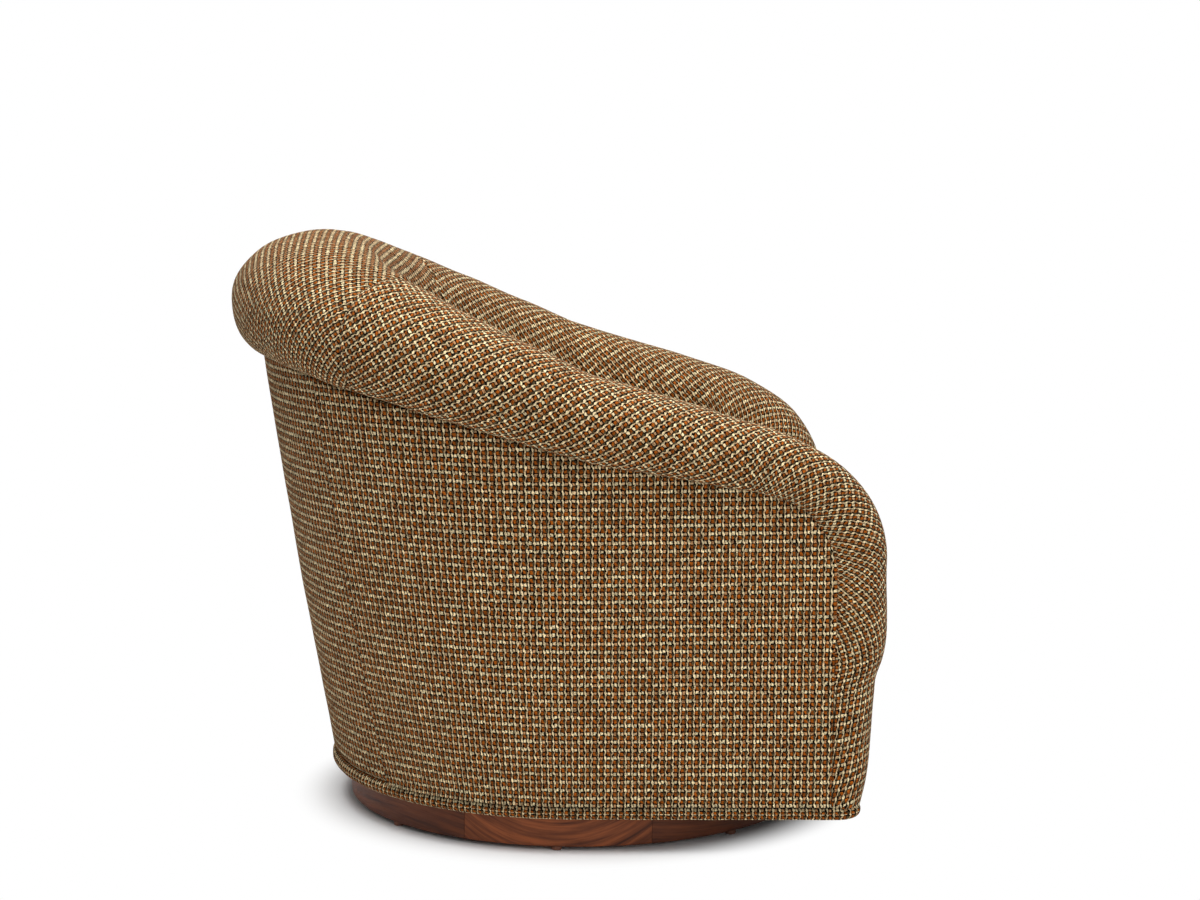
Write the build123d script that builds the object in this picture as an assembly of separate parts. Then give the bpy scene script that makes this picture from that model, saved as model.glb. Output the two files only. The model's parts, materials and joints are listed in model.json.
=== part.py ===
from build123d import *
import os
from dataclasses import dataclass
from math import cos, radians, sin, sqrt, tan

# Swivel tub chair with a rolled back and rolled arms on a round wooden plinth.
# Millimetres and degrees, +Z up. The front faces -Y and the sitter's left is +X.
# Everything is drawn about the swivel axis, with "forward" measured towards -Y,
# and moved at the end so that the floor point under the middle of the chair is the origin.

# Plinth
plinth_radius = 305.0
plinth_height = 38.5
plinth_wall = 43.0
segment_count = 8
segment_joint_angle = 15.0
ledge_width = 18.0
ledge_height = 13.0
base_panel_thickness = 15.0
glide_height = 5.0
glide_radius = 6.5
glide_setback = 7.0
nail_radius = 1.25
nail_head_radius = 3.5
nail_head_height = 1.5
nail_length = 18.0
screw_radius = 2.0
screw_head_radius = 4.0
screw_head_height = 3.0
screw_bite = 9.0

# Swivel bearing
plate_side = 203.0
plate_thickness = 2.5
plate_bolt_reach = 85.0
race_radius = 82.0
race_width = 16.0
race_height = 3.0
race_gap = 4.0
ball_radius = 4.0
ball_count = 24
cage_thickness = 1.2
bolt_radius = 3.0
bolt_head_radius = 6.0
bolt_head_height = 3.5
nut_radius = 6.5
nut_height = 5.0
pivot_radius = 6.0
pivot_head_radius = 10.0
pivot_head_height = 7.0
pivot_nut_height = 9.0
bush_wall = 3.0
bush_flange = 3.0
bush_flange_height = 1.0
washer_radius = 14.0
washer_thickness = 2.0

# Plan of the body
bottom_radius = 326.0
side_splay = 3.0
body_front = 330.0
front_corner = 45.0
panel_thickness = 12.0
welt_radius = 8.0
welt_proud = 2.4

# Outline of the roll: ridge, crease under the roll, outermost and innermost reach
back_height = 745.0
arm_height = 594.0
back_crease_height = 596.0
arm_crease_height = 490.0
ridge_fall = 0.31
crease_fall = 0.19
nose_start = 190.0
arm_front = 362.0
seam_forward = 294.0
nose_end_height = 355.0
seam_top_height = 345.0
nose_power = 2.5
foot_forward = 346.0
foot_height = 200.0
toe_forward = 334.0
ridge_radius = 330.0
back_reach = 451.0
arm_reach = 394.0
nose_reach = 353.0
back_crease_reach = 413.0
arm_crease_reach = 362.0
front_crease_reach = 346.0
toe_crease_reach = 343.0
back_inner_reach = 235.0
arm_inner_reach = 268.0
front_inner_reach = 262.0
column_middle = 306.0
outer_rise = 0.43
inner_rise = 0.30
column_rise = 0.05

# Seams between the back and the arms
roll_seam_angle = 45.0
panel_seam_angle = 37.5
section_step = 7.5
straight_count = 4
nose_turns = (15.0, 30.0, 45.0, 60.0, 75.0, 90.0)

# Pads, deck and cushion
back_pad_reach = 185.0
arm_pad_reach = 264.0
back_pad_thickness = 75.0
arm_pad_thickness = 22.0
back_pad_crown = 10.0
arm_pad_crown = 2.5
deck_thickness = 12.0
apron_front = 340.0
apron_foot = 332.0
apron_top = 326.0
cushion_half_width = 251.0
cushion_front = 350.0
cushion_back = 171.0
cushion_front_corner = 45.0
cushion_back_corner = 195.0
cushion_border = 118.0
cushion_waist = 5.0
cushion_crown = 30.0
cushion_welt_radius = 3.0
zip_width = 8.0
zip_depth = 1.2
zip_length = 110.0

# Wooden frame
board_thickness = 20.0
board_inset = 14.0
seat_frame_bottom = 245.0
seat_frame_thickness = 40.0
seat_frame_width = 46.0
seat_frame_front = 291.0
lower_post_depth = 36.0
lower_post_width = 50.0
upper_post_depth = 22.0
upper_post_width = 44.0
back_post_angle = 28.0
front_post_back = 250.0
front_post_front = 288.0
rail_thickness = 28.0
post_screw_radius = 2.5
post_screw_head_radius = 5.0
post_screw_bite = 30.0
dust_cover_thickness = 1.0
dust_cover_hole = 165.0

# Zig-zag seat springs
spring_count = 5
spring_spacing = 95.0
spring_width = 50.0
spring_pitch = 24.0
spring_wire_radius = 1.8
clip_width = 16.0
clip_length = 14.0
clip_roof = 1.4

# Clearances
soft_gap = 0.5
rest_gap = 0.3
running_gap = 0.08
hole_gap = 0.1
welt_lift = 0.5

# Heights worked out from the stack of pieces, from the floor up
plinth_bottom = glide_height
plinth_top = plinth_bottom + plinth_height
base_panel_bottom = plinth_bottom + ledge_height
base_panel_top = base_panel_bottom + base_panel_thickness
lower_race_top = base_panel_top + plate_thickness + race_height
ball_height = lower_race_top + race_gap / 2
upper_plate_bottom = lower_race_top + race_gap + race_height
board_bottom = upper_plate_bottom + plate_thickness
board_top = board_bottom + board_thickness
welt_height = board_bottom + board_thickness * 0.3
panel_bottom = welt_height + welt_radius + welt_lift
column_bottom = board_top + soft_gap
seat_frame_top = seat_frame_bottom + seat_frame_thickness
spring_height = seat_frame_top + spring_wire_radius + 1.0
clip_top = spring_height + spring_wire_radius + clip_roof
deck_bottom = clip_top + rest_gap
deck_top = deck_bottom + deck_thickness
cushion_bottom = deck_top + rest_gap
pad_bottom = deck_top + rest_gap

# Radii and the move to the final origin
board_radius = bottom_radius - board_inset
plinth_inner = plinth_radius - plinth_wall
glide_ring = plinth_radius - glide_setback
half_root = sqrt(0.5)
to_origin = Location((0, -(back_reach - arm_front) / 2, 0))

os.makedirs("parts", exist_ok=True)


def save(node, shapes):
    """Move the solids of one node to the final frame and write them."""
    solids = [to_origin * solid for shape in shapes for solid in shape.solids()]
    whole = solids[0] if len(solids) == 1 else Compound(children=solids)
    whole.label = node
    export_step(whole, f"parts/{node}.step")


def disc(radius, bottom, top, x=0.0, y=0.0):
    """Upright cylinder between two heights."""
    return Pos(x, y, (bottom + top) / 2) * Cylinder(radius, top - bottom)


def ring(outer, inner, bottom, top):
    """Flat ring about the swivel axis."""
    return disc(outer, bottom, top) - disc(inner, bottom - 1, top + 1)


def corners(reach):
    """The four corner points of a square about the axis."""
    return [(x, y) for x in (-reach, reach) for y in (-reach, reach)]


def polar(radius, angle):
    """A point at an angle from +X about the axis."""
    return radius * cos(radians(angle)), radius * sin(radians(angle))


def d_outline(radius, front, corner, height):
    """Closed plan line: a round back, two splayed sides and a straight front with round corners."""
    splay = radians(side_splay)
    half_front = radius / cos(splay) + front * tan(splay)
    left = (radius * cos(splay), radius * sin(splay), height)
    right = (-left[0], left[1], height)
    sides = FilletPolyline(
        left, (half_front, -front, height), (-half_front, -front, height), right, radius=corner
    )
    back = ThreePointArc(right, (0, radius, height), left)
    return Wire(list(sides.edges()) + [back.edge()])


def d_plate(radius, front, corner, bottom, top):
    """Flat plate with the D plan."""
    return extrude(Face(d_outline(radius, front, corner, bottom)), top - bottom, dir=(0, 0, 1))


@dataclass
class Station:
    """One cross-section of the upholstered wall.

    The section plane holds the crease point and the ridge point. A point in it has a distance
    from the middle of the chair and a rise, which is 0 at the crease and 1 at the ridge.
    """

    angle: float
    crease_forward: float
    crease_z: float
    ridge_forward: float
    ridge_z: float
    inner: float
    ridge: float
    outer: float
    crease: float
    rise: float

    def spot(self, radius, forward, height, side):
        turn = radians(self.angle)
        return Vector(side * radius * sin(turn), radius * cos(turn) - forward, height)

    def at(self, radius, rise, side):
        forward = self.crease_forward + rise * (self.ridge_forward - self.crease_forward)
        height = self.crease_z + rise * (self.ridge_z - self.crease_z)
        return self.spot(radius, forward, height, side)

    def level(self, radius, height, side):
        return self.spot(radius, self.crease_forward, height, side)

    def under(self, radius):
        """Height of the roll's underside at a radius."""
        share = (self.crease - radius) / (self.crease - self.inner)
        return self.crease_z + share * self.rise * (self.ridge_z - self.crease_z)


def round_back(at_back, at_side, angle):
    """Blend from the middle of the back to the side of the chair."""
    share = cos(radians(angle)) ** 2
    return at_back * share + at_side * (1 - share)


def along(start, end, share):
    return start + (end - start) * share


def back_station(angle):
    """Section in the upright plane through the swivel axis, angle 0 at the middle of the back."""
    drop = cos(radians(angle))
    return Station(
        angle,
        0.0,
        along(arm_crease_height, back_crease_height, drop),
        0.0,
        along(arm_height, back_height, drop),
        round_back(back_inner_reach, arm_inner_reach, angle),
        ridge_radius,
        round_back(back_reach, arm_reach, angle),
        round_back(back_crease_reach, arm_crease_reach, angle),
        inner_rise,
    )


def arm_station(forward):
    """Upright section across the straight part of an arm."""
    share = forward / seam_forward
    return Station(
        90.0,
        forward,
        arm_crease_height - crease_fall * forward,
        forward,
        arm_height - ridge_fall * forward,
        along(arm_inner_reach, front_inner_reach, share),
        ridge_radius,
        along(arm_reach, nose_reach, share * share),
        along(arm_crease_reach, front_crease_reach, share),
        inner_rise,
    )


def nose_curve(start_height, fall, end_forward, end_height, turn):
    """Point on the sheared quarter of a rounded square that bends an arm line down to upright."""
    reach = end_forward - nose_start
    forward_share = sin(radians(turn)) ** (2 / nose_power)
    height_share = max(cos(radians(turn)), 0.0) ** (2 / nose_power)
    middle = end_height + fall * reach
    forward = nose_start + reach * forward_share
    height = middle + (start_height - middle) * height_share - fall * reach * forward_share
    return forward, height


def nose_station(turn):
    """Section across the arm where it turns down, from 0 to 90 degrees of turn."""
    start = arm_station(nose_start)
    share = turn / 90
    ridge_forward, ridge_z = nose_curve(start.ridge_z, ridge_fall, arm_front, nose_end_height, turn)
    crease_forward, crease_z = nose_curve(
        start.crease_z, crease_fall, seam_forward, seam_top_height, turn
    )
    return Station(
        90.0,
        crease_forward,
        crease_z,
        ridge_forward,
        ridge_z,
        along(start.inner, front_inner_reach, share),
        along(ridge_radius, column_middle, share * share),
        along(start.outer, nose_reach, share),
        along(start.crease, front_crease_reach, share),
        along(inner_rise, column_rise, share),
    )


def column_station(height, forward, crease_reach):
    """Level section across the upright front of an arm."""
    return Station(
        90.0,
        seam_forward,
        height,
        forward,
        height,
        front_inner_reach,
        column_middle,
        crease_reach + nose_reach - front_crease_reach,
        crease_reach,
        column_rise,
    )


def corner_stations(start_angle):
    """Sections round the back corner, from a seam to the start of the straight arm."""
    count = round((90 - start_angle) / section_step)
    return [back_station(along(start_angle, 90.0, step / count)) for step in range(count)]


def straight_stations():
    """Sections along the straight part of an arm, up to where it starts to turn down."""
    return [arm_station(nose_start * step / straight_count) for step in range(straight_count + 1)]


def back_stations(seam_angle):
    """Sections round the back from one seam to the other."""
    count = 2 * round(seam_angle / section_step)
    return [back_station(along(-seam_angle, seam_angle, step / count)) for step in range(count + 1)]


def arm_stations():
    """Sections of an arm from the back seam to the foot of its front."""
    stations = corner_stations(roll_seam_angle) + straight_stations()
    stations += [nose_station(turn) for turn in nose_turns]
    swell = along(nose_end_height, foot_height, 0.5)
    stations.append(column_station(swell, along(arm_front, foot_forward, 0.2), front_crease_reach))
    stations.append(column_station(foot_height, foot_forward, front_crease_reach))
    stations.append(column_station(column_bottom, toe_forward, toe_crease_reach))
    return stations


def roll_section(station, side):
    """Round top and outer cheek of the roll, closed by its flat underside."""
    inner = station.at(station.inner, station.rise, side)
    top = station.at(station.ridge, 1.0, side)
    outer = station.at(station.outer, outer_rise, side)
    crease = station.at(station.crease, 0.0, side)
    inner_mid = station.at(
        along(station.ridge, station.inner, half_root), along(station.rise, 1.0, half_root), side
    )
    outer_mid = station.at(
        along(station.ridge, station.outer, half_root), along(outer_rise, 1.0, half_root), side
    )
    cheek_mid = station.at(
        along(station.crease, station.outer, half_root), outer_rise * (1 - half_root), side
    )
    return Wire(
        [
            ThreePointArc(inner, inner_mid, top).edge(),
            ThreePointArc(top, outer_mid, outer).edge(),
            ThreePointArc(outer, cheek_mid, crease).edge(),
            Line(crease, inner).edge(),
        ]
    )


def loop(points):
    """Closed wire of straight edges through points."""
    return Wire(Polyline(*points, close=True).edges())


def panel_foot(station):
    """Distance of the outside panel's foot from the middle of the chair."""
    if station.angle < 90.0:
        return bottom_radius
    splay = radians(side_splay)
    return bottom_radius / cos(splay) + station.crease_forward * tan(splay)


def panel_inside(station, height):
    """Distance of the outside panel's inner face from the middle of the chair at a height."""
    share = (height - panel_bottom) / (station.crease_z - soft_gap - panel_bottom)
    return along(panel_foot(station), station.crease, share) - panel_thickness


def panel_section(station, side):
    """Thin upright strip from the crease down to the welt."""
    foot = panel_foot(station)
    top = station.crease_z - soft_gap
    return loop(
        [
            station.level(foot, panel_bottom, side),
            station.level(station.crease, top, side),
            station.level(station.crease - panel_thickness, top, side),
            station.level(foot - panel_thickness, panel_bottom, side),
        ]
    )


def pad_thickness_at(angle):
    return round_back(back_pad_thickness, arm_pad_thickness, angle)


def pad_section(station, side, top_limit=None):
    """Inside padding from the roll's underside down to the deck, its face a little crowned."""
    thickness = pad_thickness_at(station.angle)
    foot = round_back(back_pad_reach, arm_pad_reach, station.angle)
    crown = round_back(back_pad_crown, arm_pad_crown, station.angle)
    inner_top = station.under(station.inner) - soft_gap
    outer_top = station.under(station.inner + thickness) - soft_gap
    if top_limit is not None:
        inner_top = top_limit
        outer_top = top_limit
    middle = (inner_top + pad_bottom) / 2
    top_inner = station.level(station.inner, inner_top, side)
    low_inner = station.level(foot, pad_bottom, side)
    face_mid = station.level((station.inner + foot) / 2 - crown, middle, side)
    low_outer = station.level(foot + thickness, pad_bottom, side)
    top_outer = station.level(station.inner + thickness, outer_top, side)
    return Wire(
        [
            ThreePointArc(top_inner, face_mid, low_inner).edge(),
            Line(low_inner, low_outer).edge(),
            Line(low_outer, top_outer).edge(),
            Line(top_outer, top_inner).edge(),
        ]
    )


def rail_section(station, side, top_limit=None):
    """Wooden rail under the roll, between the inside pad and the outside panel."""
    inner = station.inner + pad_thickness_at(station.angle) + soft_gap
    outer = station.crease - panel_thickness - 2 * soft_gap
    inner_top = station.under(inner) - soft_gap
    outer_top = station.under(outer) - soft_gap
    if top_limit is not None:
        inner_top = top_limit
        outer_top = top_limit
    outer_bottom = outer_top - rail_thickness
    return loop(
        [
            station.level(inner, inner_top, side),
            station.level(outer, outer_top, side),
            station.level(panel_inside(station, outer_bottom) - 2 * soft_gap, outer_bottom, side),
            station.level(inner, inner_top - rail_thickness, side),
        ]
    )


def skin(sections):
    """Solid through a row of sections."""
    return Solid.make_loft(sections, ruled=True)


# Plinth ring of glued segments, each with a ledge for the base panel
def plinth_segments():
    profile = [
        (plinth_radius, plinth_bottom),
        (plinth_radius, plinth_top),
        (plinth_inner, plinth_top),
        (plinth_inner, base_panel_bottom),
        (plinth_inner - ledge_width, base_panel_bottom),
        (plinth_inner - ledge_width, plinth_bottom),
    ]
    step = 360 / segment_count
    face = Face(loop([Vector(radius, 0, height) for radius, height in profile]))
    segment = revolve(face, Axis.Z, step)
    glide_x, glide_y = polar(glide_ring, step / 2)
    screw_x, screw_y = polar(plinth_inner - ledge_width / 2, step / 2)
    segment -= disc(nail_radius + hole_gap, plinth_bottom - 1, nail_top() + hole_gap, glide_x, glide_y)
    head_top = plinth_bottom + screw_head_height + hole_gap
    segment -= disc(screw_head_radius + hole_gap, plinth_bottom - 1, head_top, screw_x, screw_y)
    segment -= disc(screw_radius + hole_gap, plinth_bottom, plinth_top, screw_x, screw_y)
    return [Rot(0, 0, segment_joint_angle + step * index) * segment for index in range(segment_count)]


def segment_middles():
    step = 360 / segment_count
    return [segment_joint_angle + step * (index + 0.5) for index in range(segment_count)]


def nail_top():
    return glide_height - 1.0 + nail_length


def glide_nails():
    head_top = glide_height - 1.0
    head = disc(nail_head_radius, head_top - nail_head_height, head_top)
    nail = head + disc(nail_radius, head_top - nail_head_height, nail_top())
    return [Pos(*polar(glide_ring, angle), 0) * nail for angle in segment_middles()]


def glides():
    head_top = glide_height - 1.0
    pad = disc(glide_radius, 0, glide_height)
    pad = chamfer(pad.edges().group_by(Axis.Z)[0], 1.0)
    pad -= disc(nail_radius + hole_gap, head_top, glide_height + 1)
    pad -= disc(
        nail_head_radius + hole_gap, head_top - nail_head_height - hole_gap, head_top + hole_gap
    )
    return [Pos(*polar(glide_ring, angle), 0) * pad for angle in segment_middles()]


def screw_spots():
    return [polar(plinth_inner - ledge_width / 2, angle) for angle in segment_middles()]


def base_panel():
    panel = disc(plinth_inner - hole_gap, base_panel_bottom, base_panel_top)
    panel -= disc(pivot_head_radius + 2.0, base_panel_bottom - 1, base_panel_top + 1)
    for x, y in screw_spots():
        top = base_panel_bottom + screw_bite + hole_gap
        panel -= disc(screw_radius + hole_gap, base_panel_bottom - 1, top, x, y)
    for x, y in corners(plate_bolt_reach):
        panel -= disc(bolt_radius + hole_gap, base_panel_bottom - 1, base_panel_top + 1, x, y)
    return [panel]


def base_panel_screws():
    head = disc(screw_head_radius, plinth_bottom, plinth_bottom + screw_head_height)
    screw = head + disc(screw_radius, plinth_bottom, base_panel_bottom + screw_bite)
    return [Pos(x, y, 0) * screw for x, y in screw_spots()]


# Swivel bearing: two plates with ball races, held together by a pivot bolt
def race_plate(bottom, race_bottom, hole):
    plate = Pos(0, 0, bottom + plate_thickness / 2) * Box(plate_side, plate_side, plate_thickness)
    plate = fillet(plate.edges().filter_by(Axis.Z), plate_side / 12)
    half = race_width / 2
    plate += ring(race_radius + half, race_radius - half, race_bottom, race_bottom + race_height)
    plate -= Pos(0, 0, ball_height) * Torus(race_radius, ball_radius + hole_gap)
    plate -= disc(hole, bottom - race_height - 1, bottom + plate_thickness + race_height + 1)
    for x, y in corners(plate_bolt_reach):
        plate -= disc(bolt_radius + hole_gap, bottom - 1, bottom + plate_thickness + 1, x, y)
    return [plate]


def lower_plate():
    return race_plate(base_panel_top, base_panel_top + plate_thickness, pivot_radius + running_gap)


def upper_plate():
    hole = pivot_radius + bush_wall + running_gap * 2
    return race_plate(upper_plate_bottom, upper_plate_bottom - race_height, hole)


def lower_bolts():
    head_bottom = base_panel_top + plate_thickness
    bolt = disc(bolt_head_radius, head_bottom, head_bottom + bolt_head_height)
    bolt += disc(bolt_radius, base_panel_bottom - nut_height, head_bottom)
    return [Pos(x, y, 0) * bolt for x, y in corners(plate_bolt_reach)]


def hex_nut(across, hole, bottom, height):
    nut = extrude(Pos(0, 0, bottom) * RegularPolygon(across, 6), height)
    return nut - disc(hole, bottom - 1, bottom + height + 1)


def lower_nuts():
    nut = hex_nut(nut_radius, bolt_radius + hole_gap, base_panel_bottom - nut_height, nut_height)
    return [Pos(x, y, 0) * nut for x, y in corners(plate_bolt_reach)]


def upper_bolts():
    bolt = disc(bolt_head_radius, upper_plate_bottom - bolt_head_height, upper_plate_bottom)
    bolt += disc(bolt_radius, upper_plate_bottom, board_top + nut_height)
    return [Pos(x, y, 0) * bolt for x, y in corners(plate_bolt_reach)]


def upper_nuts():
    nut = hex_nut(nut_radius, bolt_radius + hole_gap, board_top, nut_height)
    return [Pos(x, y, 0) * nut for x, y in corners(plate_bolt_reach)]


def pivot_nut_bottom():
    return board_bottom + rest_gap + washer_thickness


def pivot_bolt():
    bolt = disc(pivot_head_radius, base_panel_top - pivot_head_height, base_panel_top)
    bolt += disc(pivot_radius, base_panel_top, pivot_nut_bottom() + pivot_nut_height)
    return [bolt]


def pivot_nut():
    nut = hex_nut(
        pivot_head_radius, pivot_radius + hole_gap, pivot_nut_bottom(), pivot_nut_height
    )
    return [nut]


def pivot_washer():
    return [
        ring(
            washer_radius,
            pivot_radius + hole_gap,
            board_bottom + rest_gap,
            pivot_nut_bottom(),
        )
    ]


def pivot_bush():
    bore = pivot_radius + running_gap
    body = pivot_radius + bush_wall
    flange_bottom = upper_plate_bottom - bush_flange_height
    bush = disc(body, flange_bottom, board_bottom)
    bush += disc(body + bush_flange, flange_bottom, upper_plate_bottom)
    return [bush - disc(bore, flange_bottom - 1, board_bottom + 1)]


def ball_spots():
    return [polar(race_radius, 360 * index / ball_count) for index in range(ball_count)]


def bearing_balls():
    return [Pos(x, y, ball_height) * Sphere(ball_radius) for x, y in ball_spots()]


def ball_cage():
    half = race_width / 2 + 1.0
    bottom = ball_height - cage_thickness / 2
    cage = ring(race_radius + half, race_radius - half, bottom, bottom + cage_thickness)
    for x, y in ball_spots():
        cage -= disc(ball_radius + hole_gap * 2, bottom - 1, bottom + cage_thickness + 1, x, y)
    return [cage]


# Wooden frame
def lower_post_spots():
    """Plan places of the posts between the bottom board and the seat frame: x, y and turn."""
    middle = board_radius - lower_post_depth / 2 - 5.0
    spots = []
    for side in (-1, 1):
        for angle in (back_post_angle, 80.0):
            x = side * middle * sin(radians(angle))
            y = middle * cos(radians(angle))
            spots.append((x, y, side * (90.0 - angle)))
        spots.append((side * front_post_middle(), -front_post_centre(), 0.0))
    return spots


def front_post_middle():
    return arm_inner_reach + arm_pad_thickness + upper_post_depth / 2 + 6.0


def front_post_centre():
    return (front_post_back + front_post_front) / 2


def lower_posts():
    height = seat_frame_bottom - board_top
    posts = []
    for x, y, turn in lower_post_spots():
        width = lower_post_width if turn else front_post_front - front_post_back
        post = Pos(x, y, board_top + height / 2) * Rot(0, 0, turn) * Box(lower_post_depth, width, height)
        hole_top = board_top + post_screw_bite + hole_gap
        post -= disc(post_screw_radius + hole_gap, board_top - 1, hole_top, x, y)
        posts.append(post)
    return posts


def post_screws():
    head = disc(post_screw_head_radius, board_bottom, board_bottom + screw_head_height)
    screw = head + disc(post_screw_radius, board_bottom, board_top + post_screw_bite)
    return [Pos(x, y, 0) * screw for x, y, turn in lower_post_spots()]


def bottom_board():
    board = d_plate(board_radius, body_front - board_inset, front_corner - board_inset, board_bottom, board_top)
    board -= disc(washer_radius + 8.0, board_bottom - 1, board_top + 1)
    for x, y in corners(plate_bolt_reach):
        board -= disc(bolt_radius + hole_gap, board_bottom - 1, board_top + 1, x, y)
    for x, y, turn in lower_post_spots():
        head_top = board_bottom + screw_head_height + hole_gap
        board -= disc(post_screw_radius + hole_gap, board_bottom - 1, board_top + 1, x, y)
        board -= disc(post_screw_head_radius + hole_gap, board_bottom - 1, head_top, x, y)
    return [board]


def seat_frame():
    outer = d_plate(board_radius, seat_frame_front, front_corner, seat_frame_bottom, seat_frame_top)
    inner = d_plate(
        board_radius - seat_frame_width,
        seat_frame_front - seat_frame_width,
        front_corner,
        seat_frame_bottom - 1,
        seat_frame_top + 1,
    )
    return [outer - inner]


def rail_stations():
    """Sections of an arm rail from the back seam to the front post."""
    return corner_stations(roll_seam_angle) + straight_stations()


def arm_rail(side):
    sections = [rail_section(station, side) for station in rail_stations()]
    turn = nose_station(30.0)
    sections.append(rail_section(turn, side, turn.crease_z - 2 * soft_gap))
    return skin(sections)


def top_rail():
    return skin([rail_section(station, 1) for station in back_stations(roll_seam_angle)])


def leaning_post(angle, side, rail):
    """Post on the seat frame that leans out to meet the underside of a rail."""
    station = back_station(angle)
    foot = board_radius - upper_post_depth
    rail_middle = (station.inner + pad_thickness_at(angle) + station.crease - panel_thickness) / 2
    head = rail_middle - upper_post_depth / 2
    top = station.under(rail_middle) - rail_thickness / 2
    turn = radians(angle)
    radial = Vector(side * sin(turn), cos(turn), 0)
    plane = Plane((0, 0, 0), x_dir=radial, z_dir=radial.cross(Vector(0, 0, 1)))
    outline = [
        (foot, seat_frame_top),
        (foot + upper_post_depth, seat_frame_top),
        (head + upper_post_depth, top),
        (head, top),
    ]
    face = plane * make_face(Polyline(*outline, close=True))
    post = extrude(face, upper_post_width / 2, both=True) - rail
    return max(post.solids(), key=lambda solid: solid.volume)


def front_post(side):
    """Post behind the upright front of an arm, its top cut to the slope of the nose."""
    gap = 8.0
    back_top = nose_station(30.0).crease_z - gap
    front_top = nose_station(70.0).crease_z - gap
    outline = [
        Vector(0, -front_post_back, seat_frame_top),
        Vector(0, -front_post_front, seat_frame_top),
        Vector(0, -front_post_front, front_top),
        Vector(0, -front_post_back, back_top),
    ]
    middle = side * front_post_middle()
    return Pos(middle, 0, 0) * extrude(Face(loop(outline)), upper_post_depth / 2, both=True)


# Springs and deck
def spring_rows():
    """Each spring's place across the seat and the length it spans: x, front y and back y."""
    half = spring_count // 2
    reach = board_radius - seat_frame_width / 2
    front = -(seat_frame_front - seat_frame_width / 2 + 10.0)
    rows = []
    for index in range(-half, half + 1):
        x = index * spring_spacing
        edge = abs(x) + spring_width / 2 * (0 if index == 0 else 1)
        rows.append((x, front, sqrt(reach**2 - edge**2)))
    return rows


def zigzag(x, front, back):
    """Round wire in even waves from the front of the seat frame to its back."""
    waves = 2 * round((back - front) / spring_pitch / 2)
    pitch = (back - front) / waves
    points = []
    for wave in range(waves + 1):
        y = front + wave * pitch
        swing = spring_width / 2 * (1 if wave % 2 else -1)
        points.append(Vector(x + swing, y, spring_height))
        points.append(Vector(x - swing, y, spring_height))
    path = FilletPolyline(*points, radius=pitch * 0.45)
    start = Plane(origin=points[0], z_dir=points[1] - points[0])
    return sweep(start * Circle(spring_wire_radius), path=path)


def seat_springs():
    return [zigzag(*row) for row in spring_rows()]


def spring_clips():
    clip = Pos(0, 0, (seat_frame_top + clip_top) / 2) * Box(
        clip_width, clip_length, clip_top - seat_frame_top
    )
    wire = Pos(0, 0, spring_height) * Rot(0, 90, 0) * Cylinder(
        spring_wire_radius + hole_gap, clip_width * 2
    )
    clip -= wire
    clips = []
    for x, front, back in spring_rows():
        clips.append(Pos(x, front, 0) * clip)
        clips.append(Pos(x, back, 0) * clip)
    return clips


def deck_pad():
    post_face = front_post_middle() - upper_post_depth / 2
    radius = post_face - seat_frame_front * tan(radians(side_splay)) - soft_gap
    return [d_plate(radius, seat_frame_front - soft_gap, front_corner, deck_bottom, deck_top)]


# Upholstery
def back_roll():
    return skin([roll_section(station, 1) for station in back_stations(roll_seam_angle)])


def arm_roll(side):
    return skin([roll_section(station, side) for station in arm_stations()])


def outside_back():
    return skin([panel_section(station, 1) for station in back_stations(panel_seam_angle)])


def outside_arm(side):
    stations = corner_stations(panel_seam_angle) + straight_stations()
    stations += [nose_station(turn) for turn in nose_turns[:-1]]
    return skin([panel_section(station, side) for station in stations])


def inside_back_pad():
    return skin([pad_section(station, 1) for station in back_stations(roll_seam_angle)])


def inside_arm_pad(side):
    sections = [pad_section(station, side) for station in rail_stations()]
    for turn in (30.0, 70.0):
        station = nose_station(turn)
        sections.append(pad_section(station, side, station.crease_z - 4 * soft_gap))
    return skin(sections)


def front_apron():
    """Padded front below the cushion, between the two arm fronts."""
    back = seat_frame_front + soft_gap
    top = deck_top - soft_gap
    middle = along(column_bottom, top, 0.55)
    half = front_inner_reach - 3 * soft_gap
    edges = [
        Line((0, -back, column_bottom), (0, -apron_foot, column_bottom)),
        ThreePointArc((0, -apron_foot, column_bottom), (0, -apron_front, middle), (0, -apron_top, top)),
        Line((0, -apron_top, top), (0, -back, top)),
        Line((0, -back, top), (0, -back, column_bottom)),
    ]
    face = Face(Wire([edge.edge() for edge in edges]))
    return [extrude(face, half, both=True)]


def bottom_welt():
    """Covered cord round the foot of the body."""
    inset = welt_radius - welt_proud
    path = d_outline(bottom_radius - inset, body_front - inset, front_corner - inset, welt_height)
    start = Plane(origin=path @ 0, z_dir=path % 0)
    return [sweep(start * Circle(welt_radius), path=path)]


def dust_cover():
    sheet = d_plate(
        board_radius,
        body_front - board_inset,
        front_corner - board_inset,
        board_bottom - dust_cover_thickness,
        board_bottom,
    )
    return [sheet - disc(dust_cover_hole, board_bottom - 2, board_bottom + 1)]


# Loose seat cushion
def cushion_outline(inset, height):
    """Plan line of the cushion: straight front and sides, large round back corners."""
    half = cushion_half_width - inset
    front = -(cushion_front - inset)
    back = cushion_back - inset
    middle = (front + back) / 2
    front_round = max(cushion_front_corner - inset / 2, cushion_front_corner / 2)
    front_line = FilletPolyline(
        (half, middle, height),
        (half, front, height),
        (-half, front, height),
        (-half, middle, height),
        radius=front_round,
    )
    back_line = FilletPolyline(
        (-half, middle, height),
        (-half, back, height),
        (half, back, height),
        (half, middle, height),
        radius=cushion_back_corner - inset,
    )
    return Wire(list(front_line.edges()) + list(back_line.edges()))


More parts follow.
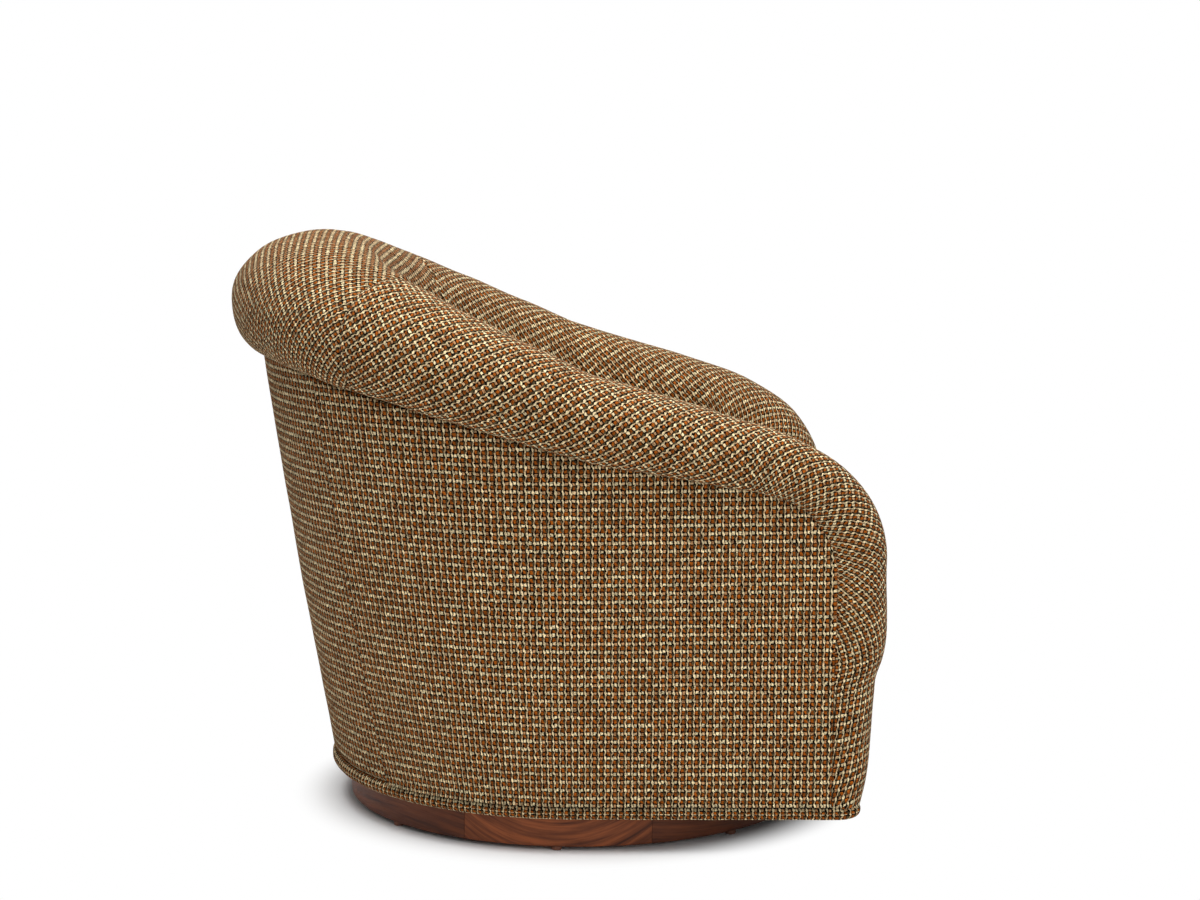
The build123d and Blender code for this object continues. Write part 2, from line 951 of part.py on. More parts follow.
def seat_cushion():
    top = cushion_bottom + cushion_border
    sections = [
        cushion_outline(cushion_waist * 0.6, cushion_bottom),
        cushion_outline(0.0, cushion_bottom + cushion_welt_radius * 2),
        cushion_outline(cushion_waist, cushion_bottom + cushion_border / 2),
        cushion_outline(0.0, top - cushion_welt_radius * 2),
        cushion_outline(cushion_waist, top),
        cushion_outline(45.0, top + cushion_crown * 0.55),
        cushion_outline(110.0, top + cushion_crown * 0.9),
        cushion_outline(170.0, top + cushion_crown),
    ]
    return [Solid.make_loft(sections, ruled=True)]


def cushion_welts():
    cords = []
    outset = -(cushion_welt_radius + rest_gap)
    low = cushion_bottom + cushion_welt_radius * 2
    high = cushion_bottom + cushion_border - cushion_welt_radius * 2
    for height in (low, high):
        path = cushion_outline(outset, height)
        start = Plane(origin=path @ 0, z_dir=path % 0)
        cords.append(sweep(start * Circle(cushion_welt_radius), path=path))
    return cords


def cushion_zip():
    """Zip tape on the back of the cushion's border, with its pull."""
    middle = cushion_bottom + cushion_border / 2
    face = cushion_back - cushion_waist + 2 * rest_gap
    tape = Pos(0, face + zip_depth / 2, middle) * Box(zip_length, zip_depth, zip_width)
    return [tape]


NODES = {
    "plinth_segments": plinth_segments,
    "glides": glides,
    "glide_nails": glide_nails,
    "base_panel": base_panel,
    "base_panel_screws": base_panel_screws,
    "swivel_lower_plate": lower_plate,
    "lower_plate_bolts": lower_bolts,
    "lower_plate_nuts": lower_nuts,
    "pivot_bolt": pivot_bolt,
    "pivot_washer": pivot_washer,
    "pivot_nut": pivot_nut,
    "bearing_balls": bearing_balls,
    "ball_cage": ball_cage,
    "swivel_upper_plate": upper_plate,
    "pivot_bush": pivot_bush,
    "upper_plate_bolts": upper_bolts,
    "upper_plate_nuts": upper_nuts,
    "bottom_board": bottom_board,
    "lower_posts": lower_posts,
    "post_screws": post_screws,
    "seat_frame": seat_frame,
    "top_rail": lambda: [top_rail()],
    "arm_rail_left": lambda: [arm_rail(1)],
    "arm_rail_right": lambda: [arm_rail(-1)],
    "back_posts": lambda: [leaning_post(back_post_angle, side, top_rail()) for side in (1, -1)],
    "arm_posts": lambda: [leaning_post(90.0, side, arm_rail(side)) for side in (1, -1)],
    "front_posts": lambda: [front_post(side) for side in (1, -1)],
    "seat_springs": seat_springs,
    "spring_clips": spring_clips,
    "deck_pad": deck_pad,
    "back_roll": lambda: [back_roll()],
    "arm_roll_left": lambda: [arm_roll(1)],
    "arm_roll_right": lambda: [arm_roll(-1)],
    "inside_back_pad": lambda: [inside_back_pad()],
    "inside_arm_pad_left": lambda: [inside_arm_pad(1)],
    "inside_arm_pad_right": lambda: [inside_arm_pad(-1)],
    "outside_back": lambda: [outside_back()],
    "outside_arm_left": lambda: [outside_arm(1)],
    "outside_arm_right": lambda: [outside_arm(-1)],
    "front_apron": front_apron,
    "bottom_welt": bottom_welt,
    "dust_cover": dust_cover,
    "seat_cushion": seat_cushion,
    "cushion_welts": cushion_welts,
    "cushion_zip": cushion_zip,
}

for name, make in NODES.items():
    save(name, make())
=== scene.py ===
"""Looks of a swivel tub chair: tweed covers, a loose seat cushion and a walnut plinth.

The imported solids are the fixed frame. Covers, cushion, welts, deck and plinth are surfaces
worked out with numpy from the same named sizes as the solids, in metres, +Z up, with the
front of the seat towards -Y. "Forward" is measured from the swivel axis towards -Y.
"""

import json
import logging
import math
from dataclasses import dataclass, field
from enum import Enum

import bmesh
import bpy
import numpy as np
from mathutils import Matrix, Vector
from mathutils.bvhtree import BVHTree

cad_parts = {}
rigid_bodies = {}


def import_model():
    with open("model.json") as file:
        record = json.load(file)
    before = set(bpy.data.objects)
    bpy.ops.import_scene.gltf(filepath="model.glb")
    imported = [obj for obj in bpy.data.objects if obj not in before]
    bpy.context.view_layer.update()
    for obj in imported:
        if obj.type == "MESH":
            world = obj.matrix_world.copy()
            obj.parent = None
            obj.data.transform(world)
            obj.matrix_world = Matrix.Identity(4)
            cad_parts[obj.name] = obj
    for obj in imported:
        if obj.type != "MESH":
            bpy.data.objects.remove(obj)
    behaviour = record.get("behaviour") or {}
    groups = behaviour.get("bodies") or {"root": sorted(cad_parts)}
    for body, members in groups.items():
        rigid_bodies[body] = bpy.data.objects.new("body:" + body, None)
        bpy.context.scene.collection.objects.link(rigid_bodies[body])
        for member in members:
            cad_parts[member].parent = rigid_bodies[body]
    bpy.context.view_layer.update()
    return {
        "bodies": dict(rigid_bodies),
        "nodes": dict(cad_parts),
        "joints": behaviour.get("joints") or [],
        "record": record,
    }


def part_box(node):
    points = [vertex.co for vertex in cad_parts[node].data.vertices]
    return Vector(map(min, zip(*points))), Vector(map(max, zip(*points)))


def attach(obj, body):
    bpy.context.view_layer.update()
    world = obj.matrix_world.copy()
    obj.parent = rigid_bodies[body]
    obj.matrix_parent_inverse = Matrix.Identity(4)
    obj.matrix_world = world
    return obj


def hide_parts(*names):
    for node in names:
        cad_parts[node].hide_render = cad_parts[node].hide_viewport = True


log = logging.getLogger("tub_chair")
Array = np.ndarray
Object = bpy.types.Object
Socket = bpy.types.NodeSocket

# Metres in a millimetre
MM = 0.001
# Name of the map in metres that every new piece carries
WEAVE_MAP = "weave"
# Step from one plinth board to the next in their map
BOARD_STEP = 1.7
# Faces with a smaller cross product of their diagonals are left out, and nearer points are merged
FLAT_FACE = 1e-10
MERGE_REACH = 2e-6
# Length below which a direction counts as none
NO_LENGTH = 1e-12
WHITE = (1.0, 1.0, 1.0, 1.0)


class Body(str, Enum):
    """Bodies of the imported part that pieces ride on."""

    BASE = "base"
    CHAIR = "chair"
    CUSHION = "cushion"


class Side(int, Enum):
    """Sides of the chair, as the sign of x."""

    LEFT = 1
    RIGHT = -1

    @property
    def word(self) -> str:
        """Name of the side in node names."""
        return "left" if self is Side.LEFT else "right"


def blend(start: Array, end: Array, share: Array) -> Array:
    """Straight blend: start plus share times the difference."""
    return start + (end - start) * share


def smooth_step(low: float, high: float, value: Array) -> Array:
    """Soft step from 0 at low to 1 at high: 3t squared minus 2t cubed."""
    share = np.clip((value - low) / (high - low), 0.0, 1.0)
    return share * share * (3 - 2 * share)


def flowing_line(knots: Array, places: Array) -> Array:
    """Smooth line through knots: cubic pieces whose slope at a knot is that of its neighbours.

    Args:
        knots: Places and values, of shape (n, 2), in rising order of place.
        places: Where the line is wanted.

    Returns:
        Values of the line.
    """
    slopes = np.gradient(knots[:, 1], knots[:, 0])
    number = np.clip(np.searchsorted(knots[:, 0], places) - 1, 0, len(knots) - 2)
    width = knots[number + 1, 0] - knots[number, 0]
    share = (places - knots[number, 0]) / width
    first, second = knots[number, 1], knots[number + 1, 1]
    rise = share * share * (3 - 2 * share)
    lead_in = share * (1 - share) ** 2 * width * slopes[number]
    lead_out = share * share * (share - 1) * width * slopes[number + 1]
    return first + (second - first) * rise + lead_in + lead_out


def tint(red: int, green: int, blue: int) -> tuple[float, float, float, float]:
    """Screen colour of 0 to 255 as linear light, by the power 2.2.

    Args:
        red, green, blue: Screen levels.

    Returns:
        Linear red, green, blue and full alpha.
    """
    return tuple((level / 255) ** 2.2 for level in (red, green, blue)) + (1.0,)


# Mesh helpers


def grid_normals(points: Array) -> Array:
    """Unit normals of a grid surface: the cross product of its row and column differences.

    Args:
        points: Grid of shape (rows, columns, 3).

    Returns:
        Normals of the same shape.
    """
    along_rows = np.gradient(points, axis=0)
    along_columns = np.gradient(points, axis=1)
    normals = np.cross(along_rows, along_columns)
    lengths = np.linalg.norm(normals, axis=2, keepdims=True)
    return normals / np.maximum(lengths, NO_LENGTH)


def walked(points: Array, axis: int) -> Array:
    """Distance walked over a grid along one axis: the running sum of its steps.

    Args:
        points: Grid of shape (rows, columns, 3).
        axis: 0 to walk down the rows, 1 along the columns.

    Returns:
        Distances of shape (rows, columns), 0 on the first line.
    """
    steps = np.linalg.norm(np.diff(points, axis=axis), axis=2)
    start = np.zeros_like(np.take(steps, [0], axis=axis))
    return np.concatenate([start, np.cumsum(steps, axis=axis)], axis=axis)


def rounded_edge(distance: Array, reach: float, depth: float) -> Array:
    """Sink of a sewn edge: a quarter ellipse, deepest at the edge and flat past its reach."""
    share = 1 - np.clip(distance / reach, 0.0, 1.0)
    return depth * (1 - np.sqrt(np.clip(1 - share * share, 0.0, 1.0)))


def soft_waves(first: Array, second: Array, size: float, phase: float) -> Array:
    """Quiet unevenness of stuffing: a sum of four crossing sine waves, from about -1 to 1.

    Args:
        first, second: Distances over the surface in metres.
        size: Length of the longest wave.
        phase: Shift that makes each piece differ.

    Returns:
        Height of the waves.
    """
    turn = 2 * math.pi / size
    waves = np.sin(first * turn + phase) * np.cos(second * turn * 0.8 + 2 * phase)
    waves += 0.6 * np.sin(first * turn * 1.7 - second * turn * 1.3 + 3 * phase)
    waves += 0.4 * np.cos(first * turn * 2.6 + second * turn * 2.1 + 5 * phase)
    waves += 0.3 * np.sin(second * turn * 3.7 - first * turn * 0.9 + 7 * phase)
    return waves / 2.3


def raised(points: Array, height: Array) -> Array:
    """Grid moved along its normals by a height."""
    return points + grid_normals(points) * height[..., None]


def add_object(name: str, data: bpy.types.ID) -> Object:
    """Make an object and link it to the scene.

    Args:
        name: Its name.
        data: Mesh, lamp or camera.

    Returns:
        The object.
    """
    obj = bpy.data.objects.new(name, data)
    bpy.context.scene.collection.objects.link(obj)
    return obj


def mesh_from_grid(name: str, points: Array, weave: Array) -> Object:
    """Object with one smooth grid surface and a map in metres.

    Args:
        name: Piece name.
        points: Grid of shape (rows, columns, 3).
        weave: Map of shape (rows, columns, 2).

    Returns:
        The new object, linked to the scene, with equal points merged.
    """
    rows, columns = points.shape[:2]
    index = np.arange(rows * columns).reshape(rows, columns)
    quads = np.stack([index[:-1, :-1], index[1:, :-1], index[1:, 1:], index[:-1, 1:]], axis=-1)
    quads = quads.reshape(-1, 4)
    flat = points.reshape(-1, 3)
    one = flat[quads[:, 2]] - flat[quads[:, 0]]
    two = flat[quads[:, 3]] - flat[quads[:, 1]]
    quads = quads[np.linalg.norm(np.cross(one, two), axis=1) > FLAT_FACE]
    mesh = bpy.data.meshes.new(name)
    mesh.from_pydata(flat.tolist(), [], quads.tolist())
    layer = mesh.uv_layers.new(name=WEAVE_MAP)
    layer.data.foreach_set("uv", weave.reshape(-1, 2)[quads.ravel()].astype(np.float32).ravel())
    obj = add_object(name, mesh)
    work = bmesh.new()
    work.from_mesh(mesh)
    bmesh.ops.remove_doubles(work, verts=work.verts, dist=MERGE_REACH)
    loose = [vert for vert in work.verts if not vert.link_faces]
    bmesh.ops.delete(work, geom=loose, context="VERTS")
    work.to_mesh(mesh)
    work.free()
    mesh.polygons.foreach_set("use_smooth", np.ones(len(mesh.polygons), dtype=bool))
    return obj


def close_ends(points: Array) -> Array:
    """Grid with an added row at each end, in which every point is the middle of the end row."""
    first, last = [row * 0 + row.mean(axis=1, keepdims=True) for row in (points[:1], points[-1:])]
    return np.concatenate([first, points, last])


def face_outwards(obj: Object) -> None:
    """Turn the faces of a closed mesh outwards.

    Args:
        obj: The piece.
    """
    work = bmesh.new()
    work.from_mesh(obj.data)
    bmesh.ops.recalc_face_normals(work, faces=work.faces)
    work.to_mesh(obj.data)
    work.free()


def thicken(obj: Object, wall: float) -> None:
    """Give an open cover a wall inwards from its face.

    Args:
        obj: The piece.
        wall: Thickness of the wall.
    """
    solidify = obj.modifiers.new("wall", "SOLIDIFY")
    solidify.thickness = wall
    solidify.offset = -1.0


def round_corners(points: Array, radii: Array, steps: int = 12) -> Array:
    """Closed plan line through corner points with round corners.

    At each corner of turn angle a, the arc of radius r touches the sides r tan(a/2) from the
    corner. Its points sit at the touching point plus r sin(t) along the first side and
    r (1 - cos t) towards the second.

    Args:
        points: Corner points of shape (n, 2), in order.
        radii: Corner radius at each point, 0 for a plain point.
        steps: Points per arc.

    Returns:
        Points of shape (m, 2), without repeating the first.
    """
    before = np.roll(points, 1, axis=0)
    after = np.roll(points, -1, axis=0)
    way_in = points - before
    way_in /= np.linalg.norm(way_in, axis=1, keepdims=True)
    way_out = after - points
    way_out /= np.linalg.norm(way_out, axis=1, keepdims=True)
    turn = np.arccos(np.clip((way_in * way_out).sum(axis=1), -1, 1))
    lean = way_out - way_in * np.cos(turn)[:, None]
    lean /= np.maximum(np.linalg.norm(lean, axis=1, keepdims=True), NO_LENGTH)
    line = []
    for number in range(len(points)):
        if radii[number] <= 0:
            line.append(points[number][None])
            continue
        radius = radii[number]
        start = points[number] - way_in[number] * radius * math.tan(turn[number] / 2)
        sweep = np.linspace(0, turn[number], steps)[:, None]
        side_step = radius * (1 - np.cos(sweep)) * lean[number]
        line.append(start + radius * np.sin(sweep) * way_in[number] + side_step)
    return np.concatenate(line)


def even_loop(points: Array, count: int) -> Array:
    """Closed line cut to even steps, with its first point repeated at the end.

    Args:
        points: Points of shape (n, 2), without repeating the first.
        count: Number of steps.

    Returns:
        Points of shape (count + 1, 2).
    """
    ring = np.concatenate([points, points[:1]])
    steps = np.linalg.norm(np.diff(ring, axis=0), axis=1)
    reach = np.concatenate([[0.0], np.cumsum(steps)])
    places = np.linspace(0, reach[-1], count + 1)
    return np.stack([np.interp(places, reach, ring[:, axis]) for axis in range(2)], axis=1)


# Material helpers


class Graph:
    """One node tree and the few node calls that finishes, floor and background use."""

    def __init__(self, tree: bpy.types.NodeTree) -> None:
        """Empty the tree and keep its nodes and links."""
        self.nodes, self.links = tree.nodes, tree.links
        self.nodes.clear()

    def feed(self, socket: Socket, value: object) -> None:
        """Link a socket to another, or set its value.

        Args:
            socket: Input of a node.
            value: Socket or plain value.
        """
        if isinstance(value, Socket):
            self.links.new(value, socket)
        else:
            socket.default_value = value

    def add(self, kind: str, inputs: dict, output: object = 0, **settings: object) -> Socket:
        """Add a node.

        Args:
            kind: Type of the node, without the prefix that all have.
            inputs: Sockets or plain values, by the input's name or number.
            output: Name or number of the output that is wanted.
            settings: Other settings of the node.

        Returns:
            The output socket.
        """
        node = self.nodes.new("ShaderNode" + kind)
        for name, value in settings.items():
            setattr(node, name, value)
        for name, value in inputs.items():
            self.feed(node.inputs[name], value)
        return node.outputs[output]

    def math(self, operation: str, first: object, second: object = 0.0, third: object = 0.0) -> Socket:
        """Result of an operation on sockets or numbers."""
        return self.add("Math", {0: first, 1: second, 2: third}, operation=operation)

    def spread(self, value: object, low: float, high: float, start: float, end: float) -> Socket:
        """Value mapped from low..high to start..end with a soft step."""
        limits = {"Value": value, "From Min": low, "From Max": high, "To Min": start, "To Max": end}
        return self.add("MapRange", limits, "Result", interpolation_type="SMOOTHSTEP")

    def mix(self, share: object, first: object, second: object, kind: str = "MIX") -> Socket:
        """Two colours mixed by the share of the second."""
        return self.add("Mix", {0: share, 6: first, 7: second}, 2, data_type="RGBA", blend_type=kind)

    def join(self, first: object, second: object, third: object = 0.0) -> Socket:
        """Vector of three sockets or numbers."""
        return self.add("CombineXYZ", {0: first, 1: second, 2: third})

    def split(self, vector: Socket) -> bpy.types.NodeOutputs:
        """The x, y and z sockets of a vector."""
        return self.add("SeparateXYZ", {0: vector}).node.outputs

    def noise(self, vector: Socket, scale: float, detail: float = 2.0, rough: float = 0.5) -> Socket:
        """Level of cloudy noise at a place, with finer layers by detail and rough."""
        inputs = {"Vector": vector, "Scale": scale, "Detail": detail, "Roughness": rough}
        return self.add("TexNoise", inputs)

    def dots(self, vector: Socket) -> Socket:
        """A random level for each whole-number place."""
        return self.add("TexWhiteNoise", {"Vector": vector}, "Value", noise_dimensions="2D")

    def place(self, stretch: tuple[float, float, float]) -> Socket:
        """Object coordinates stretched along each axis."""
        return self.add("Mapping", {"Vector": self.add("TexCoord", {}, "Object"), "Scale": stretch})

    def weave_place(self) -> Socket:
        """The piece's own map in metres."""
        return self.add("UVMap", {}, uv_map=WEAVE_MAP)


class Surface(Graph):
    """One procedural material with its surface shader."""

    def __init__(self, name: str) -> None:
        """Start a material with its surface shader linked to the output.

        Args:
            name: Its name.
        """
        self.material = bpy.data.materials.new(name)
        self.material.use_nodes = True
        super().__init__(self.material.node_tree)
        self.output = self.nodes.new("ShaderNodeOutputMaterial")
        self.shader = self.nodes.new("ShaderNodeBsdfPrincipled")
        self.show(self.shader.outputs[0])

    def show(self, shader: Socket) -> None:
        """Link a shader to the output."""
        self.feed(self.output.inputs["Surface"], shader)

    def relief(self, height: Socket, depth: float, strength: float) -> None:
        """Bump the shader's normal by a height, depth metres deep at a height of 1."""
        bump = self.add("Bump", {"Strength": strength, "Distance": depth, "Height": height})
        self.feed(self.shader.inputs["Normal"], bump)

    def set(self, **values: object) -> None:
        """Set the surface shader's inputs.

        Args:
            values: Sockets or plain values by the input's name, with _ for a space.
        """
        for name, value in values.items():
            title = name.replace("_", " ").title().replace("Ior", "IOR")
            self.feed(self.shader.inputs[title], value)


@dataclass(frozen=True)
class YarnBlock:
    """One kind of block in the check, with places and sizes as shares of the cell, across and up.

    Lean moves its middle across as it rises, and stray is how far a random level moves it. Its
    colour starts and is full at the two heights of edge, so that its rim fades into the painted
    shade of the gaps. Height is that of its top.
    """

    colour: tuple
    middle: tuple
    half: tuple
    edge: tuple
    height: float
    stray: tuple = (0.0, 0.0)
    lean: float = 0.0


@dataclass(frozen=True)
class CheckPlace:
    """Sockets that say where a point lies in the check.

    Across and up are metres in the cloth, and column and row count cells. Shares run from 0 to 1
    in a cell. The levels are random, one for each cell and one for each half of it.
    """

    across: Socket
    up: Socket
    column: Socket
    row: Socket
    share_across: Socket
    share_up: Socket
    turned_up: Socket
    cell_level: Socket
    half_level: Socket


@dataclass(frozen=True)
class Tweed:
    """Chunky tweed check: cream lengthwise yarns, rust and pink blocks and dark olive fillers.

    A cell is one repeat of the check, with a light row and a rust row. The cream yarn runs up its
    left side, thick and bright in the light row and thin in the rust row. The blocks of both rows
    and the olive filler at the right stand apart, so gaps show between them, coloured near black as
    painted shade between the yarns.
    """

    cell_width: float = 8.2 * MM
    cell_height: float = 10.3 * MM
    rust: YarnBlock = YarnBlock(
        tint(160, 84, 28), (0.765, 0.68), (0.22, 0.235), (0.06, 0.5), 0.9, (0.08, 0.06), -0.3
    )
    pink: YarnBlock = YarnBlock(
        tint(190, 143, 99), (0.565, 0.42), (0.215, 0.2), (0.06, 0.5), 0.85, (0.09, 0.08)
    )
    olive: YarnBlock = YarnBlock(tint(86, 78, 56), (0.92, 0.71), (0.12, 0.27), (0.08, 0.5), 0.45)
    pink_shift: float = 0.25
    pale_levels: tuple = (0.4, 0.9)
    cream: tuple = tint(241, 220, 173)
    cream_middle: float = 0.17
    cream_swing: float = -0.06
    cream_half: float = 0.045
    cream_slub: float = 0.16
    cream_knot: float = 0.05
    cream_break: float = 0.04
    cream_edge: tuple = (0.02, 0.55)
    thin_tone: float = 0.7
    thin_knots: tuple = (-1.0, 0.6)
    knot_row: float = 0.21
    slub_scale: float = 1.9
    # Near-black colour of the gaps between the yarns: painted shade in the hollows where no yarn lies
    gap: tuple = tint(22, 15, 8)
    wobble: float = 2.3 * MM
    wobble_scales: tuple = (230.0, 210.0)
    wobble_detail: float = 4.0
    wobble_rough: float = 0.62
    fibre_scale: float = 1300.0
    fibre_stretch: float = 2.0
    fibre_shade: tuple = (0.9, 0.55)
    fibre_height: float = 0.25
    half_shade: tuple = (0.42, 0.72)
    speck_scale: float = 430.0
    speck_levels: tuple = (0.36, 0.56)
    speck_shade: tuple = (0.45, 1.12)
    wobble_layer: float = 3.0
    slub_layer: float = 1.0
    speck_layer: float = 7.0
    depth: float = 1.2 * MM
    strength: float = 0.75

    def ridge(self, graph: Graph, place: Socket, middle: object, half: object) -> Socket:
        """Round yarn across a place: one minus the squared distance from its middle.

        Args:
            graph: The material.
            place: Place across the yarn.
            middle, half: Middle and half width of the yarn.

        Returns:
            Height from 0 at the rim to 1 at the middle.
        """
        off = graph.math("DIVIDE", graph.math("SUBTRACT", place, middle), half)
        square = graph.math("MULTIPLY", off, off)
        return graph.math("MAXIMUM", graph.math("SUBTRACT", 1.0, square), 0.0)

    def locate(self, graph: Graph) -> CheckPlace:
        """Find the cell of a point on the piece's own map, which is made to wobble by noise.

        Args:
            graph: The material.

        Returns:
            Sockets of its place.
        """
        place = graph.weave_place()
        across, up, _ = graph.split(place)
        clouds = [place, graph.join(up, across, self.wobble_layer)]
        drifts = []
        for cloud, scale in zip(clouds, self.wobble_scales):
            level = graph.noise(cloud, scale, self.wobble_detail, self.wobble_rough)
            drifts.append(graph.math("SUBTRACT", level, 0.5))
        across = graph.math("MULTIPLY_ADD", drifts[0], 2 * self.wobble, across)
        up = graph.math("MULTIPLY_ADD", drifts[1], 2 * self.wobble, up)
        column = graph.math("DIVIDE", across, self.cell_width)
        row = graph.math("DIVIDE", up, self.cell_height)
        whole_column = graph.math("FLOOR", column)
        half_row = graph.math("FLOOR", graph.math("MULTIPLY", row, 2.0))
        return CheckPlace(
            across=across,
            up=up,
            column=whole_column,
            row=row,
            share_across=graph.math("FRACT", column),
            share_up=graph.math("FRACT", row),
            turned_up=graph.math("FRACT", graph.math("ADD", row, self.pink_shift)),
            cell_level=graph.dots(graph.join(whole_column, graph.math("FLOOR", row))),
            half_level=graph.dots(graph.join(whole_column, half_row)),
        )

    def block(self, graph: Graph, kind: YarnBlock, places: tuple, levels: tuple) -> Socket:
        """Height of a block: the lower of its two ridges, across and up the cell.

        Args:
            graph: The material.
            kind: Which block.
            places: Shares of the cell, across and up.
            levels: Random levels that move its middle, across and up.

        Returns:
            Height from 0 at the rim to 1 at the middle.
        """
        leaning = graph.math("MULTIPLY_ADD", places[1], kind.lean, kind.middle[0])
        ridges = []
        for axis, middle in enumerate((leaning, kind.middle[1])):
            middle = graph.math("MULTIPLY_ADD", levels[axis], kind.stray[axis], middle)
            ridges.append(self.ridge(graph, places[axis], middle, kind.half[axis]))
        return graph.math("MINIMUM", *ridges)

    def cream_yarn(self, graph: Graph, place: CheckPlace) -> tuple[Socket, Socket]:
        """Height of the cream yarn, which swings aside and swells once or twice in each cell.

        Args:
            graph: The material.
            place: Where the point lies.

        Returns:
            Its height, and the wave of its knots from -1 to 1.
        """
        phase = graph.math("MULTIPLY", graph.math("SUBTRACT", place.row, self.knot_row), 2 * math.pi)
        knots = graph.math("COSINE", phase)
        breaks = graph.math("COSINE", graph.math("MULTIPLY", phase, 2.0))
        swing = graph.math("SINE", phase)
        slubs = graph.noise(graph.join(place.column, place.row, self.slub_layer), self.slub_scale)
        half = graph.math("MULTIPLY_ADD", slubs, self.cream_slub, self.cream_half)
        half = graph.math("MULTIPLY_ADD", knots, self.cream_knot, half)
        half = graph.math("MULTIPLY_ADD", breaks, self.cream_break, half)
        middle = graph.math("MULTIPLY_ADD", swing, self.cream_swing, self.cream_middle)
        return self.ridge(graph, place.share_across, middle, half), knots

    def shade(self, graph: Graph, place: CheckPlace, fibre: Socket) -> Socket:
        """Light and dark of the yarns: a random level for each half cell, fibres and specks.

        Args:
            graph: The material.
            place: Where the point lies.
            fibre: Level of the fibres.

        Returns:
            Factor for the colour.
        """
        shade = graph.math("MULTIPLY_ADD", place.half_level, *self.half_shade)
        shade = graph.math("MULTIPLY", shade, graph.math("MULTIPLY_ADD", fibre, *self.fibre_shade))
        speck = graph.noise(graph.join(place.across, place.up, self.speck_layer), self.speck_scale)
        return graph.math("MULTIPLY", shade, graph.spread(speck, *self.speck_levels, *self.speck_shade))

    def build(self) -> bpy.types.Material:
        """Make the material on the piece's own map.

        Returns:
            The material.
        """
        graph = Surface("tweed_check")
        place = self.locate(graph)
        random, half_random = place.cell_level, place.half_level
        shares = (place.share_across, place.share_up)
        cream, knots = self.cream_yarn(graph, place)
        rust = self.block(graph, self.rust, shares, (random, half_random))
        turned = (place.share_across, place.turned_up)
        pink = self.block(graph, self.pink, turned, (half_random, random))
        olive = self.block(graph, self.olive, shares, (random, random))
        long_place = graph.join(graph.math("MULTIPLY", place.across, self.fibre_stretch), place.up)
        fibre = graph.noise(long_place, self.fibre_scale)
        pale = graph.spread(random, *self.pale_levels, 0.0, 1.0)
        thin = graph.spread(knots, *self.thin_knots, self.thin_tone, 0.0)
        pink_tone = graph.mix(pale, self.pink.colour, self.cream)
        cream_tone = graph.mix(thin, self.cream, self.pink.colour)
        layers = (
            (olive, self.olive.edge, self.olive.colour),
            (pink, self.pink.edge, pink_tone),
            (rust, self.rust.edge, self.rust.colour),
            (cream, self.cream_edge, cream_tone),
        )
        # The colour starts as the painted gap shade, and each yarn is laid over it with its rim fading into
        # that shade
        colour = self.gap
        for top, edge, tone in layers:
            colour = graph.mix(graph.spread(top, *edge, 0.0, 1.0), colour, tone)
        shade = self.shade(graph, place, fibre)
        colour = graph.mix(1.0, colour, graph.join(shade, shade, shade), "MULTIPLY")
        graph.set(base_color=colour, roughness=0.95, specular_ior_level=0.02)
        graph.set(sheen_weight=0.02, sheen_roughness=0.6)
        height = cream
        for top, kind in ((rust, self.rust), (pink, self.pink), (olive, self.olive)):
            height = graph.math("MAXIMUM", height, graph.math("MULTIPLY", top, kind.height))
        height = graph.math("MULTIPLY_ADD", fibre, self.fibre_height, height)
        graph.relief(height, self.depth, self.strength)
        return graph.material


@dataclass(frozen=True)
class Timber:
    """Wood with long streaks and fine pores along the piece's own map or one object axis."""

    name: str
    light: tuple
    dark: tuple
    gloss: float
    mapped: bool = False
    long_scale: float = 9.0
    map_stretch: float = 0.06
    axis_stretch: float = 0.08
    bend: float = 0.02
    streak_scale: float = 14.0
    pore_scale: float = 130.0
    patch_scale: float = 3.1
    light_board: float = 3.0
    board_turn: float = 2.2
    board_tone: float = 0.34
    relief_depth: float = 0.15 * MM

    def build(self) -> bpy.types.Material:
        """Make the material.

        Returns:
            The material.
        """
        graph = Surface(self.name)
        if self.mapped:
            along, across, depth = graph.split(graph.weave_place())
            place = graph.join(graph.math("MULTIPLY", along, self.map_stretch), across, depth)
        else:
            place = graph.place((self.axis_stretch, 1.0, 1.0))
        warp = graph.noise(place, self.long_scale, 2.0)
        x, y, z = graph.split(place)
        bent = graph.join(x, graph.math("MULTIPLY_ADD", warp, self.bend, y), z)
        streak = graph.noise(bent, self.long_scale * self.streak_scale, 5.0, 0.65)
        pores = graph.noise(bent, self.long_scale * self.pore_scale, 2.0, 0.6)
        patch = graph.noise(place, self.long_scale * self.patch_scale, 2.0)
        share = graph.spread(streak, 0.24, 0.78, 0.0, 1.0)
        colour = graph.mix(share, self.dark, self.light)
        if self.mapped:
            board = graph.math("FLOOR", graph.math("DIVIDE", along, BOARD_STEP))
            turn = graph.math("MULTIPLY", graph.math("SUBTRACT", board, self.light_board), self.board_turn)
            tone = graph.math("MULTIPLY_ADD", graph.math("COSINE", turn), -self.board_tone, self.board_tone)
            colour = graph.mix(tone, colour, self.dark)
        colour = graph.mix(graph.spread(patch, 0.3, 0.75, 0.0, 0.45), colour, self.dark)
        colour = graph.mix(graph.spread(pores, 0.62, 0.75, 0.0, 0.55), colour, self.dark)
        graph.set(base_color=colour, specular_ior_level=0.25)
        graph.set(roughness=graph.spread(pores, 0.3, 0.8, self.gloss, self.gloss + 0.2))
        graph.relief(graph.math("SUBTRACT", streak, pores), self.relief_depth, 0.4)
        return graph.material


